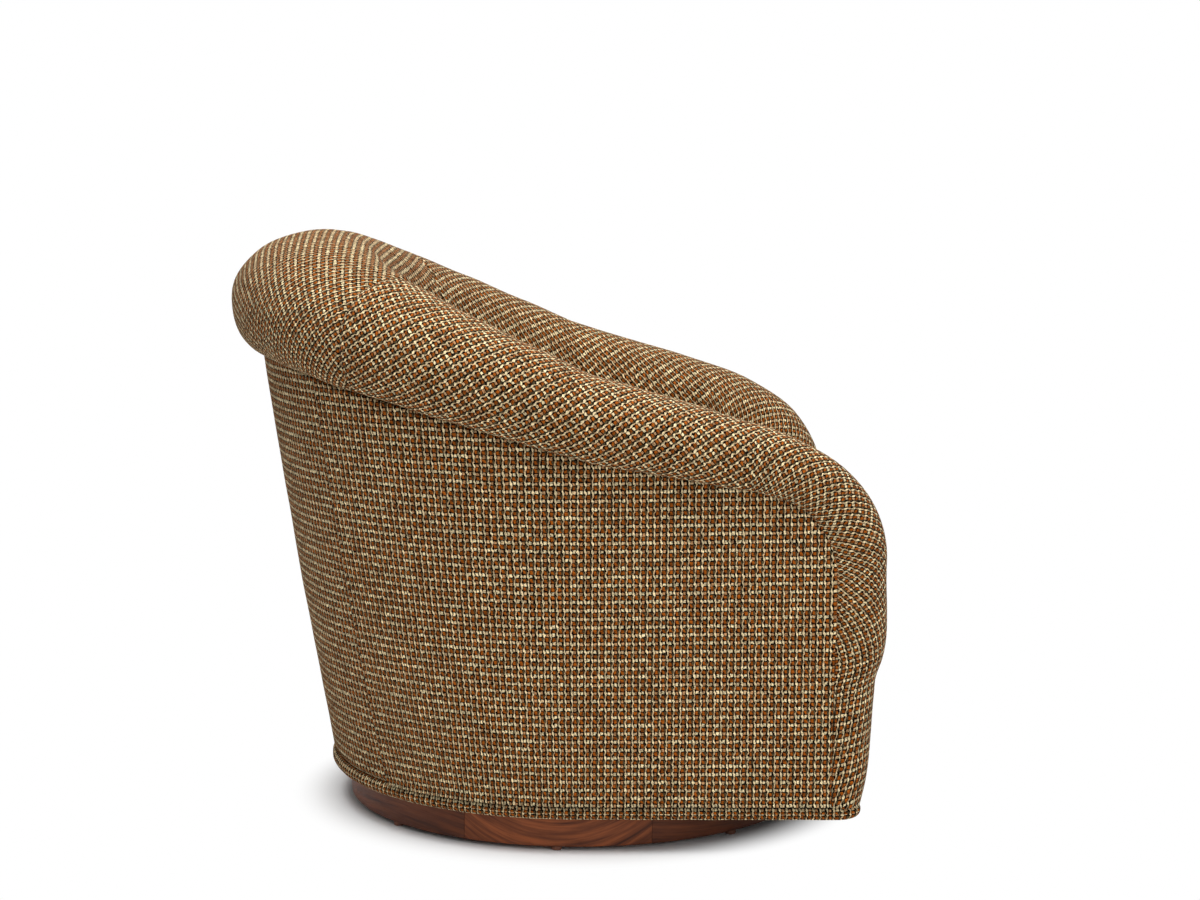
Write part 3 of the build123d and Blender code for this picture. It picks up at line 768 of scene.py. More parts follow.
@dataclass(frozen=True)
class Metal:
    """Plated or enamelled metal with faint scratches and stains."""

    name: str
    colour: tuple
    stain: tuple
    gloss: float
    shine: float
    stain_scale: float = 45.0
    scratch_scale: float = 900.0
    scratch_stretch: tuple = (3.0, 0.2, 1.0)
    scratch_depth: float = 0.03 * MM

    def build(self) -> bpy.types.Material:
        """Make the material.

        Returns:
            The material.
        """
        graph = Surface(self.name)
        place = graph.place((1.0, 1.0, 1.0))
        stain = graph.noise(place, self.stain_scale, 4.0, 0.6)
        scratch = graph.noise(graph.place(self.scratch_stretch), self.scratch_scale)
        colour = graph.mix(graph.spread(stain, 0.45, 0.75, 0.0, 0.5), self.colour, self.stain)
        graph.set(base_color=colour, metallic=self.shine)
        graph.set(roughness=graph.spread(stain, 0.3, 0.7, self.gloss, self.gloss + 0.18))
        graph.relief(scratch, self.scratch_depth, 0.3)
        return graph.material


@dataclass(frozen=True)
class Plastic:
    """Moulded nylon with a fine grain."""

    name: str
    colour: tuple
    worn: tuple
    grain_scale: float = 2200.0
    scuff_scale: float = 120.0
    grain_depth: float = 0.04 * MM

    def build(self) -> bpy.types.Material:
        """Make the material.

        Returns:
            The material.
        """
        graph = Surface(self.name)
        grain = graph.noise(graph.place((1.0, 1.0, 1.0)), self.grain_scale)
        scuff = graph.noise(graph.place((1.0, 1.0, 1.0)), self.scuff_scale, 4.0)
        colour = graph.mix(graph.spread(scuff, 0.5, 0.8, 0.0, 0.6), self.colour, self.worn)
        graph.set(base_color=colour, roughness=graph.spread(grain, 0.2, 0.8, 0.42, 0.6))
        graph.relief(grain, self.grain_depth, 0.4)
        return graph.material


@dataclass(frozen=True)
class PlainCloth:
    """Plain woven cloth: two crossing sets of fine yarns on the piece's own map."""

    name: str
    colour: tuple
    # Darker tint: painted shade in the low spots of the weave, and the low end of the cloth's own mottled
    # tone
    shadow: tuple
    pitch: float
    mottle_scale: float = 60.0
    yarn_tone: float = 0.3
    yarn_depth: float = 0.3

    def build(self) -> bpy.types.Material:
        """Make the material.

        Returns:
            The material.
        """
        graph = Surface(self.name)
        place = graph.weave_place()
        across, up, _ = graph.split(place)
        turn = 2 * math.pi / self.pitch
        warp = graph.math("SINE", graph.math("MULTIPLY", across, turn))
        weft = graph.math("SINE", graph.math("MULTIPLY", up, turn))
        weave = graph.math("MULTIPLY", warp, weft)
        mottle = graph.noise(place, self.mottle_scale, 4.0)
        # The low spots of the weave's relief are painted darker as shade; the mottle adds the cloth's own
        # uneven tone
        level = graph.math("MULTIPLY_ADD", weave, self.yarn_tone, mottle)
        colour = graph.mix(graph.spread(level, 0.15, 0.85, 0.0, 1.0), self.shadow, self.colour)
        graph.set(base_color=colour, roughness=0.95, specular_ior_level=0.1)
        graph.relief(weave, self.pitch * self.yarn_depth, 0.5)
        return graph.material


# Shape of the tub


@dataclass
class Stations:
    """Cross-sections of the upholstered wall, one row of each array for one section.

    A section plane holds the crease under the roll and the ridge of the roll. A point in it has
    a distance from the middle of the chair and a rise, which is 0 at the crease and 1 at the
    ridge.
    """

    angle: Array
    crease_forward: Array
    crease_z: Array
    ridge_forward: Array
    ridge_z: Array
    inner: Array
    ridge: Array
    outer: Array
    crease: Array
    rise: Array

    @staticmethod
    def join(*groups: "Stations") -> "Stations":
        """Put groups of sections one after another."""
        rows = [[getattr(group, name) for group in groups] for name in Stations.__dataclass_fields__]
        return Stations(*[np.concatenate(row) for row in rows])


@dataclass(frozen=True)
class TubForm:
    """Driving sizes of the tub, and the sections that they give."""

    axis_y: float
    back_height: float = 745 * MM
    arm_height: float = 594 * MM
    back_crease_height: float = 596 * MM
    arm_crease_height: float = 490 * MM
    ridge_fall: float = 0.31
    crease_fall: float = 0.19
    nose_start: float = 190 * MM
    arm_front: float = 362 * MM
    seam_forward: float = 294 * MM
    nose_end_height: float = 355 * MM
    seam_top_height: float = 345 * MM
    nose_power: float = 2.5
    front_line: tuple = (
        (62.5 * MM, 334 * MM), (105 * MM, 343 * MM), (150 * MM, 346 * MM), (200 * MM, 348.5 * MM),
        (218 * MM, 350.5 * MM), (240 * MM, 358.5 * MM), (300 * MM, 363.5 * MM), (355 * MM, 362 * MM),
    )
    foot_height: float = 200 * MM
    column_bottom: float = 62.5 * MM
    ridge_radius: float = 330 * MM
    back_reach: float = 451 * MM
    arm_reach: float = 394 * MM
    nose_reach: float = 353 * MM
    back_crease_reach: float = 413 * MM
    arm_crease_reach: float = 362 * MM
    front_crease_reach: float = 346 * MM
    toe_crease_reach: float = 343 * MM
    back_inner_reach: float = 235 * MM
    arm_inner_reach: float = 268 * MM
    front_inner_reach: float = 262 * MM
    column_middle: float = 306 * MM
    outer_rise: float = 0.43
    inner_rise: float = 0.30
    column_rise: float = 0.05
    roll_seam_angle: float = 45.0
    back_pad_reach: float = 185 * MM
    arm_pad_reach: float = 264 * MM
    back_pad_crown: float = 10 * MM
    arm_pad_crown: float = 2.5 * MM
    bottom_radius: float = 326 * MM
    side_splay: float = 3.0
    body_front: float = 330 * MM
    front_corner: float = 45 * MM
    panel_bottom: float = 62.5 * MM
    deck_top: float = 303.6 * MM
    wall_ease: float = 60 * MM
    arc_points: int = 90
    panel_seam_side: float = 215 * MM
    panel_seam_angle: float = 37.5

    def round_back(self, at_back: float, at_side: float, angle: Array) -> Array:
        """Blend from the middle of the back to the side by the squared cosine of the angle."""
        return blend(at_side, at_back, np.cos(angle) ** 2)

    def back_stations(self, angle: Array) -> Stations:
        """Upright sections through the swivel axis, whose heights fall with the angle's cosine.

        Args:
            angle: Angle of each section, 0 at the middle of the back.

        Returns:
            The sections.
        """
        drop = np.cos(angle)
        none = np.zeros_like(angle)
        return Stations(
            angle,
            none,
            blend(self.arm_crease_height, self.back_crease_height, drop),
            none,
            blend(self.arm_height, self.back_height, drop),
            self.round_back(self.back_inner_reach, self.arm_inner_reach, angle),
            none + self.ridge_radius,
            self.round_back(self.back_reach, self.arm_reach, angle),
            self.round_back(self.back_crease_reach, self.arm_crease_reach, angle),
            none + self.inner_rise,
        )

    def arm_stations(self, forward: Array) -> Stations:
        """Upright sections across the straight part of an arm, whose lines fall by fixed slopes.

        Args:
            forward: Forward distance of each section.

        Returns:
            The sections.
        """
        share = forward / self.seam_forward
        none = np.zeros_like(forward)
        return Stations(
            none + math.pi / 2,
            forward,
            self.arm_crease_height - self.crease_fall * forward,
            forward,
            self.arm_height - self.ridge_fall * forward,
            blend(self.arm_inner_reach, self.front_inner_reach, share),
            none + self.ridge_radius,
            blend(self.arm_reach, self.nose_reach, share * share),
            blend(self.arm_crease_reach, self.front_crease_reach, share),
            none + self.inner_rise,
        )

    def nose_curve(
        self, start_height: float, fall: float, end_forward: float, end_height: float, turn: Array
    ) -> tuple[Array, Array]:
        """Line that bends from the arm down to upright: a sheared quarter of a rounded square.

        Args:
            start_height: Height where the bend starts.
            fall: Slope of the arm line.
            end_forward, end_height: Where the bend ends.
            turn: Turn from 0 to a quarter circle.

        Returns:
            Forward distances and heights.
        """
        reach = end_forward - self.nose_start
        forward_share = np.sin(turn) ** (2 / self.nose_power)
        height_share = np.clip(np.cos(turn), 0, 1) ** (2 / self.nose_power)
        middle = end_height + fall * reach
        height = middle + (start_height - middle) * height_share - fall * reach * forward_share
        return self.nose_start + reach * forward_share, height

    def nose_stations(self, turn: Array) -> Stations:
        """Sections across the arm where it turns down.

        Args:
            turn: Turn of each section, from 0 to a quarter circle.

        Returns:
            The sections.
        """
        start = self.arm_stations(np.array([self.nose_start]))
        share = turn / (math.pi / 2)
        ridge_forward, ridge_z = self.nose_curve(
            start.ridge_z[0], self.ridge_fall, self.arm_front, self.nose_end_height, turn
        )
        crease_forward, crease_z = self.nose_curve(
            start.crease_z[0], self.crease_fall, self.seam_forward, self.seam_top_height, turn
        )
        return Stations(
            np.zeros_like(turn) + math.pi / 2,
            crease_forward,
            crease_z,
            ridge_forward,
            ridge_z,
            blend(start.inner[0], self.front_inner_reach, share),
            blend(self.ridge_radius, self.column_middle, share * share),
            blend(start.outer[0], self.nose_reach, share),
            blend(start.crease[0], self.front_crease_reach, share),
            blend(self.inner_rise, self.column_rise, share),
        )

    def column_stations(self, share: Array) -> Stations:
        """Nearly level sections down the upright front of an arm, along its front line.

        Args:
            share: How far down each section lies, from 0 to 1.

        Returns:
            The sections.
        """
        ridge_z = blend(self.nose_end_height, self.column_bottom, share)
        crease_z = blend(self.seam_top_height, self.column_bottom, share)
        low = 1 - smooth_step(self.column_bottom, self.foot_height, ridge_z)
        crease = blend(self.front_crease_reach, self.toe_crease_reach, low)
        none = np.zeros_like(share)
        return Stations(
            none + math.pi / 2,
            none + self.seam_forward,
            crease_z,
            flowing_line(np.array(self.front_line), ridge_z),
            ridge_z,
            none + self.front_inner_reach,
            none + self.column_middle,
            crease + self.nose_reach - self.front_crease_reach,
            crease,
            none + self.column_rise,
        )

    def flank(self, height: Array, forward: Array) -> Array:
        """Distance from the middle of the chair to the inner side of an arm's upright front.

        The side is a quarter ellipse from the ridge to the innermost point.

        Args:
            height: Heights on the column.
            forward: Forward distances at which the side is met.

        Returns:
            Distances sideways.
        """
        ridge = flowing_line(np.array(self.front_line), height)
        rise = (forward - self.seam_forward) / (ridge - self.seam_forward)
        cosine = np.clip((rise - self.column_rise) / (1 - self.column_rise), 0, 1)
        return blend(self.column_middle, self.front_inner_reach, np.sqrt(1 - cosine**2))

    def spots(self, stations: Stations, radius: Array, forward: Array, height: Array, side: int) -> Array:
        """Points at distances from the middle of the chair, one row for each section.

        Args:
            stations: Sections, which give the angle of each row.
            radius, forward, height: Arrays of shape (rows, columns).
            side: Sign of x.

        Returns:
            Points of shape (rows, columns, 3).
        """
        angle = stations.angle[:, None]
        x = side * radius * np.sin(angle)
        y = radius * np.cos(angle) - forward + self.axis_y
        return np.stack(np.broadcast_arrays(x, y, height), axis=-1)

    def wall_section(self, stations: Stations, counts: "ProfileCounts", side: int) -> Array:
        """Roll and inside wall of each section, from under the roll over its top down to the deck.

        The roll is three quarter ellipses: crease to outermost point, outermost point to ridge,
        ridge to innermost point. From there the wall goes down to the deck as a line with a
        parabola's crown, and has no length where the innermost point is under the deck.

        Args:
            stations: The sections.
            counts: Points on each stretch.
            side: Sign of x.

        Returns:
            Points of shape (rows, columns, 3).
        """
        column = {name: getattr(stations, name)[:, None] for name in Stations.__dataclass_fields__}
        crease, outer = column["crease"], column["outer"]
        ridge, inner, rise = column["ridge"], column["inner"], column["rise"]
        tuck = np.linspace(counts.tuck_share, 0, counts.under)[None]
        quarter = math.pi / 2
        cheek = np.linspace(0, quarter, counts.cheek)[None, 1:]
        top_out = np.linspace(0, quarter, counts.top_out)[None, 1:]
        top_in = np.linspace(0, quarter, counts.top_in)[None, 1:]
        radii = [
            crease + (inner - crease) * tuck,
            crease + (outer - crease) * np.sin(cheek),
            ridge + (outer - ridge) * np.cos(top_out),
            ridge + (inner - ridge) * np.sin(top_in),
        ]
        rises = [
            rise * tuck,
            self.outer_rise * (1 - np.cos(cheek)) + 0 * crease,
            self.outer_rise + (1 - self.outer_rise) * np.sin(top_out) + 0 * crease,
            rise + (1 - rise) * np.cos(top_in),
        ]
        rise_all = np.concatenate(rises, axis=1)
        roll_forward = column["crease_forward"]
        roll_forward = roll_forward + rise_all * (column["ridge_forward"] - roll_forward)
        roll_height = column["crease_z"] + rise_all * (column["ridge_z"] - column["crease_z"])
        down = np.linspace(0, 1, counts.wall)[None, 1:]
        foot = self.round_back(self.back_pad_reach, self.arm_pad_reach, column["angle"])
        crown = self.round_back(self.back_pad_crown, self.arm_pad_crown, column["angle"])
        joint_height = roll_height[:, -1:]
        fall = np.minimum(self.deck_top - joint_height, 0.0)
        length = np.clip(-fall / self.wall_ease, 0, 1)
        wall_radius = inner + (foot - inner) * down * length - crown * 4 * down * (1 - down) * length
        wall_height = joint_height + fall * down
        wall_forward = roll_forward[:, -1:] + 0 * down
        radius = np.concatenate(radii + [wall_radius], axis=1)
        forward = np.concatenate([roll_forward, wall_forward], axis=1)
        height = np.concatenate([roll_height, wall_height], axis=1)
        return self.spots(stations, radius, forward, height, side)

    def body_plan(self, inset: float, count: int, corner: float | None = None) -> Array:
        """Plan line of the body about the swivel axis: round back, splayed sides, straight front.

        Args:
            inset: How far the line lies inside the body's own line.
            count: Points on the line.
            corner: Radius of the front corners before the inset, the body's own if not given.

        Returns:
            Points of a closed line, first and last equal.
        """
        corner = self.front_corner if corner is None else corner
        splay = math.radians(self.side_splay)
        radius = self.bottom_radius - inset
        front = self.body_front - inset
        half_front = radius / math.cos(splay) + front * math.tan(splay)
        turn = np.linspace(splay, math.pi - splay, self.arc_points)
        arc = np.stack([radius * np.cos(turn), radius * np.sin(turn)], axis=1)
        corners = np.array([[-half_front, -front], [half_front, -front]])
        radii = np.concatenate([np.zeros(len(arc)), np.full(2, corner - inset)])
        line = round_corners(np.concatenate([arc, corners]), radii)
        return even_loop(line, count) + np.array([0.0, self.axis_y])


@dataclass(frozen=True)
class ProfileCounts:
    """Points on each stretch of a wall section."""

    tuck_share: float = 0.08
    under: int = 4
    cheek: int = 16
    top_out: int = 26
    top_in: int = 28
    wall: int = 44

    @property
    def ridge_column(self) -> int:
        """Number of the column that runs along the ridge."""
        return self.under + self.cheek + self.top_out - 3

    @property
    def fold_column(self) -> int:
        """Number of the column at the innermost point of the roll, where the inside wall starts."""
        return self.ridge_column + self.top_in - 1

    @property
    def crease_column(self) -> int:
        """Number of the column that runs along the crease."""
        return self.under - 1


# Pieces of the chair


@dataclass
class Piece:
    """Base of the covers: how a finished mesh joins the frame."""

    form: TubForm
    finish: bpy.types.Material

    def dress(
        self, obj: Object, body: Body, slot: str, nodes: tuple[str, ...], fill: float | None = None
    ) -> Object:
        """Give a piece its finish and body, and hide the nodes that it stands for.

        Args:
            obj: The piece.
            body: Body that it rides on.
            slot: Material slot of the record; not used.
            nodes: Nodes that it replaces.
            fill: How tightly it is stuffed, for padded pieces; not used.

        Returns:
            The piece.
        """
        obj.data.materials.clear()
        obj.data.materials.append(self.finish)
        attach(obj, body.value)
        if nodes:
            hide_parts(*nodes)
        log.info("%s: %d faces on %s", obj.name, len(obj.data.polygons), body.value)
        return obj


@dataclass
class RollCovers(Piece):
    """One-piece covers of the roll and the inside wall: one for the back, one for each arm."""

    counts: ProfileCounts = field(default_factory=ProfileCounts)
    seam_reach: float = 5 * MM
    seam_depth: float = 1.6 * MM
    waves: float = 1.3 * MM
    wall: float = 5 * MM
    bias: float = 45.0
    foot_bias: float = -4.0
    back_rows: int = 141
    corner_rows: int = 56
    arm_rows: int = 42
    nose_rows: int = 84
    column_rows: int = 70
    pucker_depth: float = 0.5 * MM
    pucker_pitch: float = 17 * MM
    pucker_reach: float = 32 * MM
    pucker_stray: float = 4 * MM
    pucker_turn: float = 61.0
    fold_reach: int = 7
    fold_passes: int = 14
    hang_ease: float = 230 * MM
    back_wave: float = 210 * MM
    back_phase: float = 0.7
    arm_wave: float = 190 * MM
    arm_phase: float = 1.9
    calm_end: float = 40 * MM
    bias_rows: tuple = (-14, 42)
    gather_row: int = -14
    gather_rows: float = 15.0
    gather_pitch: float = 7.0
    gather_reach: float = 26 * MM
    gather_depth: float = 1.5 * MM
    gather_swell: float = 0.2
    fill: float = 0.85

    def sink_seam(self, points: Array, from_seam: Array, along_seam: Array) -> Array:
        """Sink towards a seam, with small puckers that fade away from it.

        Args:
            points: Grid of the cover, faces outwards.
            from_seam: Distance of each point from the seam.
            along_seam: Distance of each point along the seam.

        Returns:
            The moved grid.
        """
        sink = rounded_edge(from_seam, self.seam_reach, self.seam_depth)
        fade = np.exp(-from_seam / self.pucker_reach)
        jitter = along_seam + self.pucker_stray * np.sin(along_seam * self.pucker_turn)
        pucker = self.pucker_depth * fade * np.cos(2 * math.pi * jitter / self.pucker_pitch)
        return raised(points, -(sink + np.maximum(pucker, 0)))

    def back_cover(self) -> Object:
        """Cover of the back between the two roll seams; its yarns run front to back over the roll.

        Returns:
            The piece.
        """
        reach = math.radians(self.form.roll_seam_angle)
        angle = np.linspace(reach, -reach, self.back_rows)
        stations = self.form.back_stations(angle)
        points = self.soften_fold(self.form.wall_section(stations, self.counts, 1))
        down = walked(points, 1)
        down -= down[:, self.counts.ridge_column][:, None]
        radius = np.hypot(points[..., 0], points[..., 1] - self.form.axis_y)
        around = angle[:, None] * radius
        lift = self.waves * soft_waves(around, down, self.back_wave, self.back_phase)
        points = raised(points, lift)
        from_seam = (reach - np.abs(angle))[:, None] * radius
        points = self.sink_seam(points, from_seam, down)
        obj = mesh_from_grid("back_cover", points, self.back_weave(angle, around, down))
        thicken(obj, self.wall)
        return self.dress(obj, Body.CHAIR, "tweed", ("back_roll", "inside_back_pad"), self.fill)

    def soften_fold(self, points: Array) -> Array:
        """Round the hollow where the roll meets the inside wall: repeated averages of neighbours.

        Args:
            points: Grid of the cover.

        Returns:
            The moved grid.
        """
        points = points.copy()
        first = self.counts.fold_column - self.fold_reach
        last = self.counts.fold_column + self.fold_reach
        for _ in range(self.fold_passes):
            mean = (points[:, first - 1 : last - 1] + points[:, first + 1 : last + 1]) / 2
            points[:, first:last] = (points[:, first:last] + mean) / 2
        return points

    def back_weave(self, angle: Array, around: Array, down: Array) -> Array:
        """Map of the back cover, one cloth over the roll and down the inside.

        On the roll a point lies where it would on a flat cloth seen from above: its distance
        over the section turned by the angle. Down the inside the cloth hangs on from the roll's
        last point and eases over to upright yarns at their true spacing.

        Args:
            angle: Angle of each row.
            around: Distance round the back at each point.
            down: Distance over the section from the ridge, inwards.

        Returns:
            Map of shape (rows, columns, 2).
        """
        turn = angle[:, None]
        fold = down[:, self.counts.fold_column][:, None]
        hung = np.maximum(down - fold, 0.0)
        radius = self.form.ridge_radius - np.minimum(down, fold)
        flat_u = radius * np.sin(turn)
        flat_v = self.form.ridge_radius - radius * np.cos(turn) + hung
        ease = smooth_step(0.0, self.hang_ease, hung)
        return np.stack([blend(flat_u, around, ease), blend(flat_v, down, ease)], axis=-1)

    def arm_rows_of_sections(self) -> tuple[Stations, int, int]:
        """Sections of one arm from the roll seam to the foot of its front.

        Returns:
            The sections, and the numbers of the first nose row and the first column row.
        """
        form = self.form
        corner = np.linspace(math.radians(form.roll_seam_angle), math.pi / 2, self.corner_rows)
        straight = np.linspace(0, form.nose_start, self.arm_rows)[1:]
        turn = np.linspace(0, math.pi / 2, self.nose_rows)[1:]
        down = np.linspace(0, 1, self.column_rows)[1:]
        stations = Stations.join(
            form.back_stations(corner),
            form.arm_stations(straight),
            form.nose_stations(turn),
            form.column_stations(down),
        )
        nose = self.corner_rows + self.arm_rows - 1
        return stations, nose, nose + self.nose_rows - 1

    def arm_weave(self, points: Array, nose: int, column: int) -> Array:
        """Map of an arm cover cut on the bias.

        The ridge is laid as a line in the cloth whose angle to the yarns is the bias on the arm
        and falls down the front. Each section is then laid square to that line, at its own
        length. On the nose every point takes the ridge's step, so the yarns fan from the crease.

        Args:
            points: Grid of the cover.
            nose, column: First row of the nose and of the column.

        Returns:
            Map of shape (rows, columns, 2).
        """
        ridge = self.counts.ridge_column
        across = walked(points, 1)
        across -= across[:, ridge][:, None]
        steps = np.linalg.norm(np.diff(points, axis=0), axis=2)
        steps[nose - 1 : column - 1] = steps[nose - 1 : column - 1, ridge][:, None]
        start = np.zeros((1, steps.shape[1]))
        along = np.concatenate([start, np.cumsum(steps, axis=0)])
        shift = along - along[:, ridge][:, None]
        shift -= shift[self.corner_rows - 1][None]
        share = smooth_step(*[column + row for row in self.bias_rows], np.arange(len(points)))
        bias = np.radians(blend(self.bias, self.foot_bias, share))
        ridge_steps = np.diff(along[:, ridge], prepend=0.0)
        line_u = np.cumsum(ridge_steps * np.sin(bias))
        line_v = np.cumsum(ridge_steps * np.cos(bias))
        sine, cosine = np.sin(bias)[:, None], np.cos(bias)[:, None]
        u = line_u[:, None] + shift * sine - across * cosine
        v = line_v[:, None] + shift * cosine + across * sine
        return np.stack([u, v], axis=-1)

    def arm_cover(self, side: Side) -> Object:
        """Cover of one arm from the roll seam over the nose to the foot of its front.

        Args:
            side: Which arm.

        Returns:
            The piece.
        """
        stations, nose, column = self.arm_rows_of_sections()
        points = self.form.wall_section(stations, self.counts, side.value)
        weave = self.arm_weave(points, nose, column)
        along = walked(points, 0)[:, self.counts.ridge_column][:, None]
        if side is Side.LEFT:
            points, weave, along = points[::-1], weave[::-1], along[::-1]
        across = walked(points, 1)
        waves = self.waves * soft_waves(along, across, self.arm_wave, self.arm_phase + side.value)
        ends = smooth_step(0, self.calm_end, along.max() - along)
        points = raised(points, waves * ends)
        points = self.sink_seam(points, along + 0 * across, across)
        points = self.gather_corner(points, across, column, side)
        obj = mesh_from_grid(f"arm_cover_{side.word}", points, weave)
        thicken(obj, self.wall)
        nodes = (f"arm_roll_{side.word}", f"inside_arm_pad_{side.word}")
        return self.dress(obj, Body.CHAIR, "tweed", nodes, self.fill)

    def gather_corner(self, points: Array, across: Array, column: int, side: Side) -> Array:
        """Small gathers that fan out of the inner corner where the crease turns down.

        Args:
            points: Grid of the cover.
            across: Distances over the grid from the tuck inwards.
            column: First row of the column, counted from the back seam.
            side: Which arm.

        Returns:
            The moved grid.
        """
        row = np.arange(len(points))[:, None]
        if side is Side.LEFT:
            row = row[::-1]
        near = np.exp(-(((row - column - self.gather_row) / self.gather_rows) ** 2))
        crease = across[:, self.counts.crease_column][:, None]
        fade = np.exp(-np.clip(across - crease, 0, None) / self.gather_reach)
        fold = np.cos(row * 2 * math.pi / self.gather_pitch)
        depth = self.gather_depth * near * fade * np.maximum(fold, -self.gather_swell)
        return raised(points, -depth)


@dataclass
class OutsidePanels(Piece):
    """Flat outside covers from the crease under the roll down to the welt."""

    rows: int = 84
    crown: float = 3.0 * MM
    edge_reach: float = 6 * MM
    edge_depth: float = 3.0 * MM
    seam_depth: float = 0.8 * MM
    seam_under: float = 0.25 * MM
    seam_lap: float = 1.2 * MM
    seam_phase: float = 0.17
    top_tuck: float = 2.0 * MM
    waves: float = 0.8 * MM
    wave_size: float = 260 * MM
    calm_reach: float = 45 * MM
    wall: float = 4 * MM
    fill: float = 0.95
    back_columns: int = 110
    corner_columns: int = 60
    straight_columns: int = 50
    nose_columns: int = 60

    def grid(self, stations: Stations, seam_share: Array, lap: float, side: int) -> Array:
        """Panel points: straight lines from the foot to the crease, a little crowned.

        Args:
            stations: Sections at the columns of the panel.
            seam_share: How far each section is along the panel towards the back seam, so that
                the seam stays in one upright plane.
            lap: How far the panel reaches past that plane, outwards from the middle.
            side: Sign of x.

        Returns:
            Points of shape (columns of sections, rows, 3).
        """
        form = self.form
        share = np.linspace(0, 1, self.rows)[None]
        splay = math.radians(form.side_splay)
        straight = form.bottom_radius / math.cos(splay) + stations.crease_forward * math.tan(splay)
        foot = np.where(stations.crease_forward > 0, straight, form.bottom_radius)[:, None]
        radius = blend(foot, stations.crease[:, None], share)
        height = blend(form.panel_bottom, stations.crease_z[:, None] + self.top_tuck, share)
        radius = radius + self.crown * 4 * share * (1 - share)
        angle = stations.angle[:, None] + 0 * share
        seam = np.arcsin((form.panel_seam_side + lap) / radius)
        angle = angle + (seam - math.radians(form.panel_seam_angle)) * seam_share[:, None]
        x = side * radius * np.sin(angle)
        y = radius * np.cos(angle) - stations.crease_forward[:, None] + form.axis_y
        return np.stack([x, y, height + 0 * radius], axis=-1)

    def finish_panel(self, name: str, points: Array, middle: Array, depth: float, nodes: tuple) -> Object:
        """Round the panel's edges, map it upright and dress it.

        Args:
            name: Piece name.
            points: Grid, faces outwards.
            middle: Distance along the panel at its middle height.
            depth: How far the upright edges sink.
            nodes: Nodes that it replaces.

        Returns:
            The piece.
        """
        along = walked(points, 0)
        up = walked(points, 1)
        sink = rounded_edge(along, self.edge_reach, depth)
        sink += rounded_edge(along[-1:] - along, self.edge_reach, depth)
        sink += rounded_edge(up, self.edge_reach, self.edge_depth)
        calm = smooth_step(0.0, self.calm_reach, np.minimum(along, along[-1:] - along))
        phase = float(len(name))
        lift = self.waves * calm * soft_waves(along, up, self.wave_size, phase) - sink
        weave = np.stack([middle[:, None] + 0 * up, points[..., 2]], axis=-1)
        points = raised(points, lift)
        obj = mesh_from_grid(name, points, weave)
        thicken(obj, self.wall)
        return self.dress(obj, Body.CHAIR, "tweed", nodes, self.fill)

    def plan_length(self, points: Array) -> Array:
        """Distance along a panel at its middle height, measured level."""
        level = points * np.array([1.0, 1.0, 0.0])
        return walked(level, 0)[:, self.rows // 2]

    def back_panel(self) -> Object:
        """Outside back between two upright seams, mapped to a whole number of cells.

        Returns:
            The piece.
        """
        reach = self.form.panel_seam_angle
        degrees = np.linspace(-reach, reach, self.back_columns)
        stations = self.form.back_stations(np.radians(degrees))
        points = self.grid(stations, degrees / reach, self.seam_lap, 1)
        middle = self.plan_length(points)
        cell = Tweed.cell_width
        whole_cells = round(middle[-1] / cell) * cell
        middle = middle * whole_cells / middle[-1] + self.seam_phase * cell
        depth = self.seam_depth + self.seam_under
        return self.finish_panel("outside_back_cover", points[::-1], middle, depth, ("outside_back",))

    def arm_panel(self, side: Side) -> Object:
        """Outside of one arm from the back seam to the seam of the arm front.

        Args:
            side: Which arm.

        Returns:
            The piece.
        """
        form = self.form
        corner = np.radians(np.linspace(form.panel_seam_angle, 90, self.corner_columns))
        straight = np.linspace(0, form.nose_start, self.straight_columns)[1:]
        turn = np.linspace(0, math.pi / 2, self.nose_columns)[1:]
        stations = Stations.join(
            form.back_stations(corner), form.arm_stations(straight), form.nose_stations(turn)
        )
        from_side = (90 - np.degrees(stations.angle)) / (90 - form.panel_seam_angle)
        points = self.grid(stations, from_side, -self.seam_lap, side.value)
        middle = self.plan_length(points)
        if side is Side.LEFT:
            points, middle = points[::-1], -middle[::-1]
        middle = middle + self.seam_phase * Tweed.cell_width
        name = f"outside_arm_cover_{side.word}"
        nodes = (f"outside_arm_{side.word}",)
        return self.finish_panel(name, points[::-1], middle[::-1], self.seam_depth, nodes)


def tube(path: Array, radius: Array, around: int) -> tuple[Array, Array]:
    """Round tube along a level closed path.

    A point is the path point plus radius times cosine outwards plus radius times sine upwards.

    Args:
        path: Points of shape (n, 3), first and last equal.
        radius: Radius at each point.
        around: Points round the tube.

    Returns:
        Grid of shape (n, around + 1, 3) and its map in metres.
    """
    ahead = np.roll(path[:-1], -1, axis=0) - np.roll(path[:-1], 1, axis=0)
    ahead = np.concatenate([ahead, ahead[:1]])
    outward = np.stack([ahead[:, 1], -ahead[:, 0], 0 * ahead[:, 0]], axis=1)
    outward /= np.linalg.norm(outward, axis=1, keepdims=True)
    turn = np.linspace(0, 2 * math.pi, around + 1)
    reach = radius[:, None, None]
    points = path[:, None] + reach * np.cos(turn)[None, :, None] * outward[:, None]
    points[..., 2] += radius[:, None] * np.sin(turn)[None]
    steps = np.linalg.norm(np.diff(path, axis=0), axis=1)
    along = np.concatenate([[0.0], np.cumsum(steps)])
    weave = np.stack(np.broadcast_arrays(along[:, None], turn[None] * radius.mean()), axis=-1)
    return points, weave


